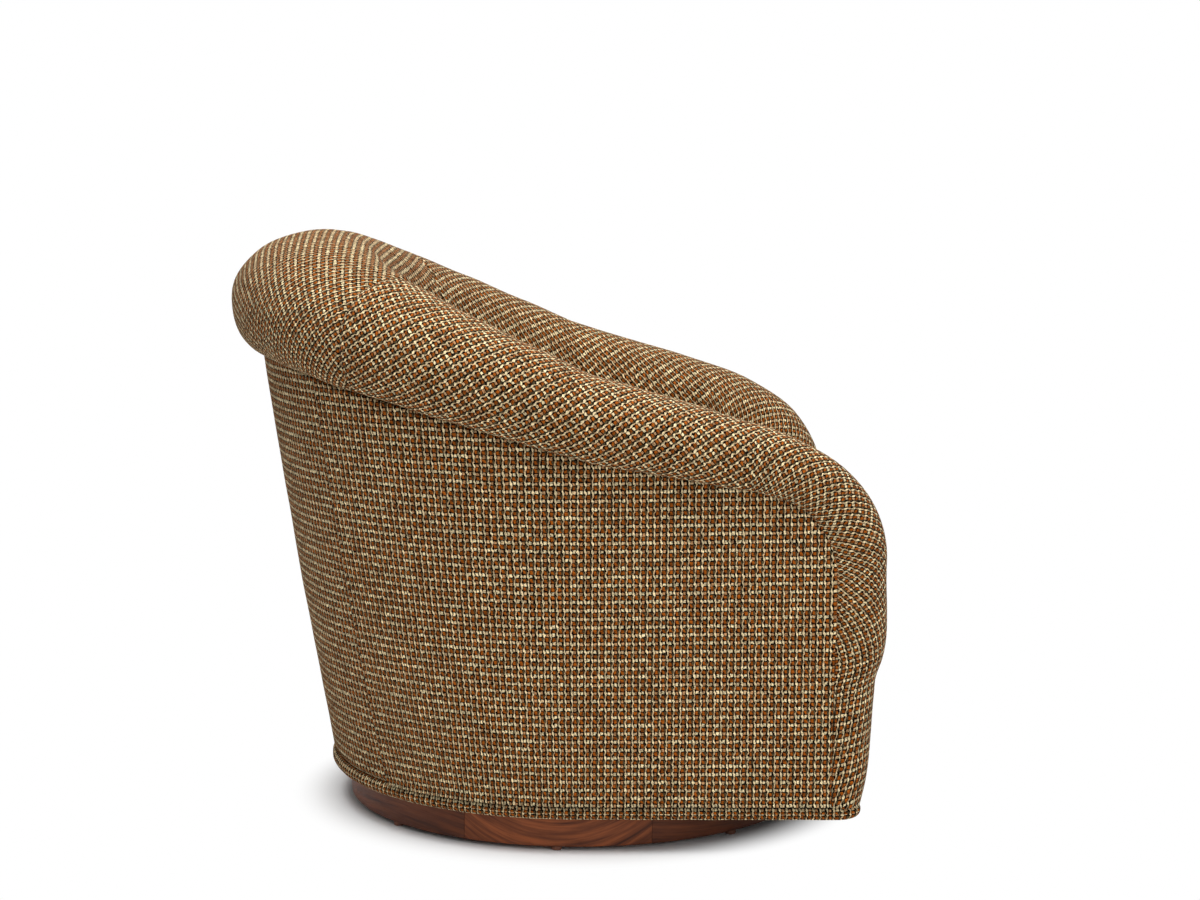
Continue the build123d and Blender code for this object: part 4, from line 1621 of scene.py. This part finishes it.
@dataclass
class FootTrim(Piece):
    """Front apron under the cushion and the covered welt round the foot of the body."""

    welt_radius: float = 9 * MM
    welt_inset: float = 5.2 * MM
    welt_phase: float = 0.66
    welt_corner: float = 27 * MM
    welt_height: float = 54 * MM
    welt_points: int = 720
    welt_around: int = 28
    welt_bumps: tuple = ((31, 0.012, 0.0), (53, 0.01, 1.0))
    valley: float = 9 * MM
    valley_reach: float = 16 * MM
    valley_tuck: float = 1.0 * MM
    apron_rows: int = 70
    apron_top_rows: int = 16
    apron_columns: int = 120
    apron_bulge: float = 0.55
    apron_back: float = 291.5 * MM
    apron_foot: float = 332 * MM
    apron_front: float = 340 * MM
    apron_top: float = 326 * MM
    apron_top_height: float = 302.8 * MM
    toe_reach: float = 9 * MM
    toe_depth: float = 5 * MM
    rim_reach: float = 12 * MM
    rim_depth: float = 3 * MM
    waves: float = 0.8 * MM
    wave_size: float = 200 * MM
    wave_phase: float = 4.0
    wall: float = 5 * MM
    fill: float = 0.9

    def welt(self) -> Object:
        """Covered cord with its yarns round it, whose radius waves a little.

        Returns:
            The piece.
        """
        plan = self.form.body_plan(self.welt_inset, self.welt_points, self.welt_corner)
        path = np.concatenate([plan, np.full((len(plan), 1), self.welt_height)], axis=1)
        turn = np.linspace(0, 2 * math.pi, len(path))
        bumps = sum(share * np.sin(count * turn + phase) for count, share, phase in self.welt_bumps)
        points, weave = tube(path, self.welt_radius * (1 + bumps), self.welt_around)
        weave = weave + np.array([0.0, self.welt_phase * Tweed.cell_height])
        obj = mesh_from_grid("bottom_welt_cover", points, weave)
        face_outwards(obj)
        return self.dress(obj, Body.CHAIR, "tweed", ("bottom_welt",))

    def apron(self) -> Object:
        """Padded front: a parabola in height from the toe over the front to the top, rolled back.

        Its side edges curl back by the valley's depth, to the width where they meet the arms.

        Returns:
            The piece.
        """
        share = np.linspace(0, 1, self.apron_rows)[None]
        top_share = np.linspace(0, 1, self.apron_top_rows)[None, 1:]
        reaches = [self.apron_foot, self.apron_front, self.apron_top]
        forward = np.polyval(np.polyfit([0.0, self.apron_bulge, 1.0], reaches, 2), share)
        height = blend(self.form.column_bottom, self.apron_top_height, share)
        half = self.form.flank(height, forward - self.valley) + self.valley_tuck
        forward = np.concatenate([forward, blend(self.apron_top, self.apron_back, top_share)], axis=1)
        height = np.concatenate([height, self.apron_top_height + 0 * top_share], axis=1)
        half = np.concatenate([half, half[:, -1:] + 0 * top_share], axis=1)
        x = np.linspace(-1, 1, self.apron_columns)[:, None] * half
        points = np.stack(np.broadcast_arrays(x, self.form.axis_y - forward, height), axis=-1)
        along, up = walked(points, 0), walked(points, 1)
        sink = rounded_edge(along, self.valley_reach, self.valley)
        sink += rounded_edge(along[-1:] - along, self.valley_reach, self.valley)
        sink += rounded_edge(up, self.toe_reach, self.toe_depth)
        rim = self.apron_rows - 1
        sink += rounded_edge(np.abs(up - up[:, rim : rim + 1]), self.rim_reach, self.rim_depth)
        lift = self.waves * soft_waves(along, up, self.wave_size, self.wave_phase) - sink
        weave = np.stack([points[..., 0], up], axis=-1)
        points = raised(points, lift)
        obj = mesh_from_grid("front_apron_cover", points, weave)
        thicken(obj, self.wall)
        return self.dress(obj, Body.CHAIR, "tweed", ("front_apron",), self.fill)


@dataclass
class SeatCushion(Piece):
    """Loose box cushion with two welts and a zip, swelled by a cloth simulation."""

    half_width: float = 251 * MM
    front: float = 350 * MM
    back: float = 171 * MM
    front_corner: float = 45 * MM
    back_corner: float = 195 * MM
    corner_steps: int = 40
    bottom: float = 303.6 * MM
    border: float = 118 * MM
    welt_radius: float = 3 * MM
    welt_points: int = 640
    welt_search: float = 30 * MM
    welt_stand: float = 0.55
    welt_passes: int = 12
    welt_around: int = 14
    welt_bumps: int = 47
    welt_bump: float = 0.03
    front_drop: float = 11 * MM
    drop_start: float = 75 * MM
    drop_end: float = 8 * MM
    voxel: float = 6.5 * MM
    pressure: float = 4.0
    stretch_stiffness: float = 25.0
    bend_stiffness: float = 0.8
    hold_reach: float = 5 * MM
    hold_foot: float = 2 * MM
    hold_least: float = 0.05
    cap: float = 7 * MM
    frames: int = 20
    crown_start: float = 4 * MM
    crown_end: float = 22 * MM
    dish_depth: float = 5 * MM
    dish_reach: float = 0.5
    dish_back: float = 0.1
    waves: float = 1.6 * MM
    wave_size: float = 240 * MM
    wave_phase: float = 2.0
    border_points: int = 3000
    block_size: int = 1000
    level_normal: float = 0.6
    merge_reach: float = 0.01 * MM
    fill: float = 0.7

    @property
    def welt_heights(self) -> tuple[float, float]:
        """Heights of the lower and the upper welt."""
        return self.bottom + 2 * self.welt_radius, self.bottom + self.border - 2 * self.welt_radius

    def plan(self, count: int) -> Array:
        """Plan line: straight front and sides, large round back corners.

        Args:
            count: Number of even steps on it.

        Returns:
            Points of a closed line, first and last equal.
        """
        half, front, back = self.half_width, self.front, self.back
        corners = np.array([[half, -front], [half, back], [-half, back], [-half, -front]])
        radii = np.array([self.front_corner, self.back_corner, self.back_corner, self.front_corner])
        line = round_corners(corners, radii, self.corner_steps)
        return even_loop(line, count) + np.array([0.0, self.form.axis_y])

    def body_mesh(self, frame: dict) -> Object:
        """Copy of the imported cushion, remeshed to small even faces.

        Args:
            frame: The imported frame.

        Returns:
            The copy.
        """
        mesh = frame["nodes"]["seat_cushion"].data.copy()
        mesh.name = "seat_cushion_cover"
        obj = add_object("seat_cushion_cover", mesh)
        work = bmesh.new()
        work.from_mesh(mesh)
        bmesh.ops.remove_doubles(work, verts=work.verts, dist=self.merge_reach)
        bmesh.ops.recalc_face_normals(work, faces=work.faces)
        work.to_mesh(mesh)
        work.free()
        remesh = obj.modifiers.new("even", "REMESH")
        remesh.mode = "VOXEL"
        remesh.voxel_size = self.voxel
        self.bake(obj)
        return obj

    def bake(self, obj: Object) -> None:
        """Turn an object's modifiers into its mesh.

        Args:
            obj: The object.
        """
        view = bpy.context.evaluated_depsgraph_get()
        made = bpy.data.meshes.new_from_object(obj.evaluated_get(view))
        obj.modifiers.clear()
        obj.data = made
        obj.data.name = obj.name

    def places(self, obj: Object) -> Array:
        """Points of an object's mesh.

        Args:
            obj: The object.

        Returns:
            Points of shape (n, 3).
        """
        flat = np.empty(len(obj.data.vertices) * 3)
        obj.data.vertices.foreach_get("co", flat)
        return flat.reshape(-1, 3)

    def swell(self, obj: Object) -> None:
        """Swell the cushion by pressure with its welt lines held, and cap how far a point goes.

        Args:
            obj: The cushion.
        """
        rest = self.places(obj)
        low, high = self.welt_heights
        held = np.exp(-(((rest[:, 2] - high) / self.hold_reach) ** 2))
        held = np.maximum(held, (rest[:, 2] < low + self.hold_foot).astype(float))
        group = obj.vertex_groups.new(name="held")
        levels = np.round(held, 2)
        for level in np.unique(levels[levels > self.hold_least]):
            group.add(np.flatnonzero(levels == level).tolist(), float(level), "REPLACE")
        cloth = obj.modifiers.new("swell", "CLOTH")
        cloth.settings.use_pressure = True
        cloth.settings.uniform_pressure_force = self.pressure
        cloth.settings.effector_weights.gravity = 0.0
        cloth.settings.vertex_group_mass = "held"
        cloth.settings.tension_stiffness = self.stretch_stiffness
        cloth.settings.compression_stiffness = self.stretch_stiffness
        cloth.settings.bending_stiffness = self.bend_stiffness
        cloth.point_cache.frame_end = self.frames
        for number in range(1, self.frames + 1):
            bpy.context.scene.frame_set(number)
        self.bake(obj)
        bpy.context.scene.frame_set(1)
        move = self.places(obj) - rest
        length = np.linalg.norm(move, axis=1, keepdims=True)
        capped = self.cap * np.tanh(length / self.cap)
        move *= capped / np.maximum(length, NO_LENGTH)
        obj.data.vertices.foreach_set("co", (rest + move).ravel())
        obj.data.update()
        obj.vertex_groups.clear()

    def front_fall(self, y: Array, z: Array) -> Array:
        """Fall of the soft front edge: a soft step forwards, growing with the height in the border.

        Args:
            y, z: Places and heights of points.

        Returns:
            How far they fall.
        """
        forward = self.form.axis_y - y
        share = np.clip((z - self.bottom) / self.border, 0, 1)
        step = smooth_step(self.front - self.drop_start, self.front - self.drop_end, forward)
        return self.front_drop * share * step

    def settle(self, obj: Object) -> None:
        """Soft dish of a cushion that has been sat on, and its lower front edge.

        Args:
            obj: The cushion.
        """
        places = self.places(obj)
        _, high = self.welt_heights
        middle_y = self.form.axis_y - (self.front - self.back) / 2
        x = places[:, 0] / self.half_width
        y = (places[:, 1] - middle_y) / ((self.front + self.back) / 2)
        top = smooth_step(high + self.crown_start, high + self.crown_end, places[:, 2])
        dish = np.exp(-((x / self.dish_reach) ** 2 + ((y - self.dish_back) / self.dish_reach) ** 2))
        waves = soft_waves(places[:, 0], places[:, 1], self.wave_size, self.wave_phase)
        places[:, 2] += top * (self.waves * waves - self.dish_depth * dish)
        places[:, 2] -= self.front_fall(places[:, 1], places[:, 2])
        obj.data.vertices.foreach_set("co", places.ravel())
        obj.data.update()

    def around(self, places: Array) -> tuple[Array, float]:
        """Distance of points round the border from the middle of the back, and the whole length.

        Args:
            places: Points of the cushion.

        Returns:
            Distance at each point, and the length of the border.
        """
        plan = self.plan(self.border_points)[:-1]
        plan = np.roll(plan, -int(np.argmax(plan[:, 1] - np.abs(plan[:, 0]))), axis=0)
        step = float(np.linalg.norm(plan[1] - plan[0]))
        blocks = np.array_split(places[:, :2], 1 + len(places) // self.block_size)
        nearest = [
            np.argmin(np.linalg.norm(block[:, None] - plan[None], axis=2), axis=1) for block in blocks
        ]
        return np.concatenate(nearest) * step, len(plan) * step

    def weave(self, obj: Object) -> None:
        """Map in metres: plan places on top and bottom faces, length round the border on its sides.

        Args:
            obj: The cushion.
        """
        mesh = obj.data
        places = self.places(obj)
        around, length = self.around(places)
        normals = np.empty(len(mesh.polygons) * 3)
        mesh.polygons.foreach_get("normal", normals)
        level = np.abs(normals.reshape(-1, 3)[:, 2]) > self.level_normal
        totals = np.empty(len(mesh.polygons), dtype=int)
        mesh.polygons.foreach_get("loop_total", totals)
        starts = np.concatenate([[0], np.cumsum(totals)[:-1]])
        corner = np.empty(len(mesh.loops), dtype=int)
        mesh.loops.foreach_get("vertex_index", corner)
        side_u = around[corner]
        spread = np.maximum.reduceat(side_u, starts) - np.minimum.reduceat(side_u, starts)
        wraps = np.repeat(spread > length / 2, totals) & (side_u < length / 2)
        side_map = np.stack([side_u + wraps * length, places[corner, 2]], axis=1)
        weave = np.where(np.repeat(level, totals)[:, None], places[corner, :2], side_map)
        layer = mesh.uv_layers.new(name=WEAVE_MAP)
        layer.data.foreach_set("uv", weave.astype(np.float32).ravel())

    def cushion(self, frame: dict) -> Object:
        """Build, swell, settle and dress the cushion.

        Args:
            frame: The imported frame.

        Returns:
            The piece.
        """
        obj = self.body_mesh(frame)
        self.swell(obj)
        self.settle(obj)
        self.weave(obj)
        obj.data.polygons.foreach_set("use_smooth", np.ones(len(obj.data.polygons), dtype=bool))
        finer = obj.modifiers.new("finer", "SUBSURF")
        finer.levels = 1
        finer.render_levels = 1
        return self.dress(obj, Body.CUSHION, "tweed", ("seat_cushion",), self.fill)

    def welt_path(self, tree: BVHTree, height: float) -> Array:
        """Line of one welt on the finished cushion.

        A level ray from outside each point of the plan line finds the border. The distance is
        averaged with its neighbours, and the cord lies on it with a part of its radius sunk in.

        Args:
            tree: Faces of the finished cushion.
            height: Height of the welt before the front edge falls.

        Returns:
            Points of a closed line, first and last equal.
        """
        plan = self.plan(self.welt_points + 1)[:-1]
        along = np.roll(plan, -1, axis=0) - np.roll(plan, 1, axis=0)
        along /= np.linalg.norm(along, axis=1, keepdims=True)
        outward = np.stack([along[:, 1], -along[:, 0]], axis=1)
        level = height - self.front_fall(plan[:, 1], height)
        stand = np.zeros(len(plan))
        for number, (place, way) in enumerate(zip(plan, outward)):
            start = Vector((*(place + way * self.welt_search), level[number]))
            hit = tree.ray_cast(start, Vector((*-way, 0.0)), 2 * self.welt_search)[3]
            stand[number] = 0.0 if hit is None else self.welt_search - hit
        for _ in range(self.welt_passes):
            stand = (np.roll(stand, 1) + 2 * stand + np.roll(stand, -1)) / 4
        plan = plan + outward * (stand + self.welt_stand * self.welt_radius)[:, None]
        line = np.concatenate([plan, level[:, None]], axis=1)
        return np.concatenate([line, line[:1]])

    def welts(self, cover: Object) -> Object:
        """The two covered cords round the cushion, as one piece.

        Args:
            cover: The finished cushion.

        Returns:
            The piece.
        """
        tree = BVHTree.FromObject(cover, bpy.context.evaluated_depsgraph_get())
        grids = []
        for height in self.welt_heights:
            path = self.welt_path(tree, height)
            turn = np.linspace(0, 2 * math.pi, len(path))
            radius = self.welt_radius * (1 + self.welt_bump * np.sin(self.welt_bumps * turn))
            grids.append(tube(path, radius, self.welt_around))
        cords = [mesh_from_grid(f"cushion_welt_{number}", *grid) for number, grid in enumerate(grids)]
        work = bmesh.new()
        for cord in cords:
            work.from_mesh(cord.data)
            bpy.data.objects.remove(cord)
        mesh = bpy.data.meshes.new("cushion_welt_cover")
        bmesh.ops.recalc_face_normals(work, faces=work.faces)
        work.to_mesh(mesh)
        work.free()
        obj = add_object("cushion_welt_cover", mesh)
        return self.dress(obj, Body.CUSHION, "tweed", ("cushion_welts",))


@dataclass
class SeatDeck(Piece):
    """Thin stuffed deck under the cushion, which shows when the cushion is lifted."""

    line_points: int = 240
    rings: int = 26
    edge_rings: int = 6
    ring_reach: float = 270 * MM
    edge_reach: float = 10 * MM
    edge_share: float = 0.4
    fill: float = 0.5

    def deck(self) -> Object:
        """Plan line shrunk to rings over the top, round the edge and under, with a soft edge.

        Returns:
            The piece.
        """
        low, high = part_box("deck_pad")
        inset = self.form.bottom_radius - (high.y - self.form.axis_y)
        plan = self.form.body_plan(inset, self.line_points)
        plan[:, 1] = np.maximum(plan[:, 1], low.y)
        out = np.linspace(0, 1, self.rings)
        ring = np.concatenate([out, np.full(self.edge_rings, 1.0), out[::-1]])[:, None]
        over = np.linspace(0, math.pi, self.edge_rings)
        turn = np.concatenate([0 * out, over, np.full(self.rings, math.pi)])[:, None]
        thickness = high.z - low.z
        edge = rounded_edge((1 - ring) * self.ring_reach, self.edge_reach, thickness * self.edge_share)
        x = plan[None, :, 0] * ring
        y = self.form.axis_y + (plan[None, :, 1] - self.form.axis_y) * ring
        z = (low.z + high.z) / 2 + np.cos(turn) * (thickness / 2 - edge) + 0 * x
        points = np.stack([x, y, z], axis=-1)
        obj = mesh_from_grid("seat_deck", points, points[..., :2].copy())
        face_outwards(obj)
        return self.dress(obj, Body.CHAIR, "deck_cloth", ("deck_pad",), self.fill)


@dataclass
class DustCloth(Piece):
    """Black cloth stretched under the bottom board, with a round hole for the swivel."""

    inset: float = 14 * MM
    hole: float = 165 * MM
    thickness: float = 0.8 * MM
    board_gap: float = 0.1 * MM
    line_points: int = 240
    rings: int = 24

    def cloth(self) -> Object:
        """Flat ring: straight lines from the round hole out to the plan line.

        Returns:
            The piece.
        """
        _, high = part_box("dust_cover")
        plan = self.form.body_plan(self.inset, self.line_points)
        centre = np.array([0.0, self.form.axis_y])
        away = plan - centre
        hole = centre + away / np.linalg.norm(away, axis=1, keepdims=True) * self.hole
        share = np.linspace(0, 1, self.rings)[:, None]
        x = blend(hole[None, :, 0], plan[None, :, 0], share)
        y = blend(hole[None, :, 1], plan[None, :, 1], share)
        z = np.full_like(x, high.z - self.board_gap)
        points = np.stack([x, y, z], axis=-1)[:, ::-1]
        obj = mesh_from_grid("dust_cloth", points, points[..., :2].copy())
        thicken(obj, self.thickness)
        self.dress(obj, Body.CHAIR, "dust_cloth", ("dust_cover",))
        return obj


@dataclass
class ZipTape(Piece):
    """Zip tape on the back of the cushion: a flat tape with a rib of teeth."""

    across_points: int = 21
    along_points: int = 221
    tooth_pitch: float = 2.2 * MM
    tooth_share: float = 0.6
    rib_half: float = 0.28
    rib_power: int = 4
    tape_share: float = 0.45

    def tape(self) -> Object:
        """Closed strip whose face carries a raised rib of teeth along its middle.

        Returns:
            The piece.
        """
        low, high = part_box("cushion_zip")
        across = np.linspace(-1, 1, self.across_points)
        along = np.linspace(low.x, high.x, self.along_points)
        face_z = (low.z + high.z) / 2 + across * (high.z - low.z) / 2
        teeth = 0.5 + 0.5 * np.sign(np.sin(along * 2 * math.pi / self.tooth_pitch))[:, None]
        rib = np.exp(-((across / self.rib_half) ** self.rib_power))[None]
        rib = rib * (1 - self.tooth_share + self.tooth_share * teeth)
        depth = high.y - low.y
        front = low.y + depth * self.tape_share + depth * (1 - self.tape_share) * rib
        back = np.full_like(front, low.y)
        x = np.repeat(along[:, None], 2 * len(across) + 1, axis=1)
        y = np.concatenate([front, back[:, ::-1], front[:, :1]], axis=1)
        z = np.concatenate([face_z, face_z[::-1], face_z[:1]])[None] + 0 * x
        points = close_ends(np.stack([x, y, z], axis=-1))
        obj = mesh_from_grid("cushion_zip_tape", points, points[..., [0, 2]].copy())
        face_outwards(obj)
        return self.dress(obj, Body.CUSHION, "zip_tape", ("cushion_zip",))


@dataclass
class Plinth(Piece):
    """Ring of eight glued walnut segments with eased edges."""

    radius: float = 305 * MM
    inner: float = 262 * MM
    ledge: float = 18 * MM
    bottom: float = 5 * MM
    top: float = 43.5 * MM
    ledge_top: float = 18 * MM
    count: int = 8
    first_joint: float = 15.0
    top_round: float = 3.0 * MM
    bottom_round: float = 2.0 * MM
    joint_gap: float = 0.08 * MM
    joint_ease: float = 0.4 * MM
    joint_shrink: float = 0.6
    inner_rounds: tuple = (1.5 * MM, 0.5 * MM, 1.0 * MM, 1.0 * MM)
    corner_steps: int = 7
    arc_points: int = 44
    board_shift: float = 0.37
    ring_slopes: tuple = (0.3, 1.1, -0.5, 1.8)

    def profile(self, ease: float) -> tuple[Array, Array]:
        """Closed cross-section with round edges and the ledge inside.

        Args:
            ease: How far it is shrunk.

        Returns:
            Distances from the axis and heights.
        """
        corners = np.array(
            [
                [self.radius - ease, self.bottom + ease],
                [self.radius - ease, self.top - ease],
                [self.inner + ease, self.top - ease],
                [self.inner + ease, self.ledge_top - ease],
                [self.inner - self.ledge + ease, self.ledge_top - ease],
                [self.inner - self.ledge + ease, self.bottom + ease],
            ]
        )
        radii = np.array([self.bottom_round, self.top_round, *self.inner_rounds])
        line = round_corners(corners, radii, self.corner_steps)
        line = np.concatenate([line, line[:1]])
        return line[:, 0], line[:, 1]

    def segment(self, number: int) -> Object:
        """One segment: its section carried round an eighth of the ring, eased at both joints.

        Args:
            number: Place in the ring, from 0.

        Returns:
            The piece.
        """
        start = math.radians(self.first_joint + 360 / self.count * number)
        end = start + 2 * math.pi / self.count
        gap, ease = self.joint_gap / self.radius, self.joint_ease / self.radius
        arc = np.linspace(start + gap + ease, end - gap - ease, self.arc_points)
        angles = np.concatenate([[start + gap], arc, [end - gap]])
        full = self.profile(0.0)
        eased = self.profile(self.joint_ease * self.joint_shrink)
        radii = np.repeat(full[0][None], len(angles), axis=0)
        heights = np.repeat(full[1][None], len(angles), axis=0)
        radii[[0, -1]] = eased[0]
        heights[[0, -1]] = eased[1]
        x = radii * np.cos(angles[:, None])
        y = radii * np.sin(angles[:, None]) + self.form.axis_y
        points = np.stack([x, y, heights], axis=-1)
        middle = (start + end) / 2
        chord = -x * math.sin(middle) + (y - self.form.axis_y) * math.cos(middle)
        depth = x * math.cos(middle) + (y - self.form.axis_y) * math.sin(middle)
        slope = self.ring_slopes[number % len(self.ring_slopes)]
        along = chord + BOARD_STEP * (number + 0.5)
        weave = np.stack([along, heights + slope * depth + self.board_shift * number], axis=-1)
        weave = np.concatenate([weave[:1], weave, weave[-1:]])
        obj = mesh_from_grid(f"plinth_segment_{number + 1}", close_ends(points), weave)
        face_outwards(obj)
        sharp = obj.modifiers.new("crisp", "WEIGHTED_NORMAL")
        sharp.keep_sharp = True
        return self.dress(obj, Body.BASE, "walnut", ("plinth_segments",))


# Frame nodes, stage and camera


@dataclass
class FrameFinishes:
    """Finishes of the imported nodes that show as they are, by material slot."""

    frame: dict

    def dress(self) -> None:
        """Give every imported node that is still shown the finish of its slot."""
        finishes = {
            "plywood": Timber("plywood", tint(214, 184, 142), tint(178, 142, 98), 0.6),
            "hardwood": Timber("hardwood", tint(204, 168, 122), tint(158, 116, 74), 0.6),
            "steel": Metal("zinc_steel", tint(196, 198, 200), tint(150, 150, 146), 0.32, 1.0),
            "spring_wire": Metal("enamel_wire", tint(46, 46, 48), tint(72, 66, 60), 0.4, 0.3),
            "glide_plastic": Plastic("glide_nylon", tint(104, 62, 42), tint(124, 84, 62)),
            "bush_plastic": Plastic("bush_nylon", tint(232, 230, 222), tint(206, 202, 192)),
        }
        made = {slot: finish.build() for slot, finish in finishes.items()}
        slots = {row["node"]: row["material_slot"] for row in self.frame["record"]["subparts"]}
        for name, node in self.frame["nodes"].items():
            if node.hide_render:
                continue
            node.data.materials.clear()
            node.data.materials.append(made[slots[name]])
            log.info("%s keeps its solid in %s", name, slots[name])


@dataclass(frozen=True)
class SoftBox:
    """Square lamp that stands at a place and points at an aim."""

    name: str
    place: tuple
    aim: tuple
    size: float
    power: float

    def build(self) -> None:
        """Add the lamp to the scene."""
        data = bpy.data.lights.new(self.name, "AREA")
        data.size = self.size
        data.energy = self.power
        lamp = add_object(self.name, data)
        lamp.location = self.place
        way = Vector(self.aim) - Vector(self.place)
        lamp.rotation_euler = way.to_track_quat("-Z", "Y").to_euler()


@dataclass(frozen=True)
class Studio:
    """White floor and background, soft light and the camera of the photograph."""

    axis_y: float
    camera_place: tuple = (-3.3959, 0.0741, 0.9440)
    camera_way: tuple = (0.98885, -0.04245, -0.14271)
    lens: float = 78.0
    sensor: float = 36.0
    sky: float = 0.25
    floor_colour: tuple = (0.93, 0.93, 0.93, 1.0)
    floor_reach: float = 12.0
    shadow_radius: float = 0.30
    white_radius: float = 0.385
    lamps: tuple = (
        SoftBox("top_box", (-0.5, -0.1, 3.1), (0, 0, 0.4), 3.2, 140.0),
        SoftBox("side_box", (-3.2, -1.6, 1.3), (0, 0, 0.3), 1.8, 18.0),
        SoftBox("far_box", (3.4, -0.4, 1.3), (0, 0, 0.3), 1.8, 15.0),
    )

    def camera(self) -> None:
        """Camera at the photograph's place and lens."""
        data = bpy.data.cameras.new("photo_camera")
        data.lens = self.lens
        data.sensor_width = self.sensor
        camera = add_object("photo_camera", data)
        camera.location = self.camera_place
        camera.rotation_euler = Vector(self.camera_way).to_track_quat("-Z", "Y").to_euler()
        bpy.context.scene.camera = camera

    def seen(self, graph: Graph) -> Socket:
        """Tell rays that the eye follows from those that only carry light.

        Args:
            graph: Node tree of the floor or the background.

        Returns:
            Socket that is 1 for camera, glossy and transmission rays.
        """
        path = graph.add("LightPath", {}).node.outputs
        eye = graph.math("MAXIMUM", path["Is Camera Ray"], path["Is Glossy Ray"])
        return graph.math("MAXIMUM", eye, path["Is Transmission Ray"])

    def world(self) -> None:
        """White to the eye, softer as light."""
        world = bpy.data.worlds.new("studio")
        bpy.context.scene.world = world
        world.use_nodes = True
        graph = Graph(world.node_tree)
        light = graph.add("Background", {"Color": WHITE, "Strength": self.sky})
        white = graph.add("Background", {"Color": WHITE})
        output = graph.nodes.new("ShaderNodeOutputWorld")
        graph.feed(output.inputs[0], graph.add("MixShader", {0: self.seen(graph), 1: light, 2: white}))

    def floor(self) -> None:
        """Pale floor that keeps the shadow near the chair and fades to white further out."""
        mesh = bpy.data.meshes.new("studio_floor")
        reach = self.floor_reach
        corners = [(-reach, -reach, 0), (reach, -reach, 0), (reach, reach, 0), (-reach, reach, 0)]
        mesh.from_pydata(corners, [], [(0, 1, 2, 3)])
        floor = add_object("studio_floor", mesh)
        graph = Surface("studio_floor")
        graph.set(base_color=self.floor_colour, roughness=0.9, specular_ior_level=0.1)
        x, y, _ = graph.split(graph.place((1.0, 1.0, 0.0)))
        y = graph.math("SUBTRACT", y, self.axis_y)
        square = graph.math("ADD", graph.math("MULTIPLY", x, x), graph.math("MULTIPLY", y, y))
        far = graph.spread(graph.math("SQRT", square), self.shadow_radius, self.white_radius, 0.0, 1.0)
        share = graph.math("MULTIPLY", far, self.seen(graph))
        white = graph.add("Emission", {"Color": WHITE})
        graph.show(graph.add("MixShader", {0: share, 1: graph.shader.outputs[0], 2: white}))
        mesh.materials.append(graph.material)

    def build(self) -> None:
        """Set the stage, the light and the camera."""
        self.camera()
        self.world()
        self.floor()
        for lamp in self.lamps:
            lamp.build()
        bpy.context.scene.view_settings.view_transform = "Standard"


def main() -> None:
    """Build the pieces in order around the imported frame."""
    logging.basicConfig(level=logging.INFO, format="%(name)s %(message)s")
    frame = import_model()
    form = TubForm(axis_y=frame["joints"][0]["pos_m"][1])
    Studio(form.axis_y).build()
    tweed = Tweed().build()
    walnut = Timber("walnut_plinth", tint(178, 99, 58), tint(52, 25, 14), 0.5, mapped=True).build()
    deck_cloth = PlainCloth("deck_cotton", tint(178, 158, 126), tint(132, 112, 84), 1.6 * MM)
    dust_cloth = PlainCloth("dust_cambric", tint(40, 40, 42), tint(16, 16, 17), 0.9 * MM)
    zip_tape = PlainCloth("zip_weave", tint(96, 78, 58), tint(58, 44, 32), 0.8 * MM)

    rolls = RollCovers(form, tweed)
    rolls.back_cover()
    panels = OutsidePanels(form, tweed)
    panels.back_panel()
    for side in Side:
        rolls.arm_cover(side)
        panels.arm_panel(side)
    trim = FootTrim(form, tweed)
    trim.welt()
    trim.apron()
    seat = SeatCushion(form, tweed)
    seat.welts(seat.cushion(frame))
    SeatDeck(form, deck_cloth.build()).deck()
    DustCloth(form, dust_cloth.build()).cloth()
    ZipTape(form, zip_tape.build()).tape()
    plinth = Plinth(form, walnut)
    for number in range(plinth.count):
        plinth.segment(number)
    FrameFinishes(frame).dress()


if __name__ == "__main__":
    main()
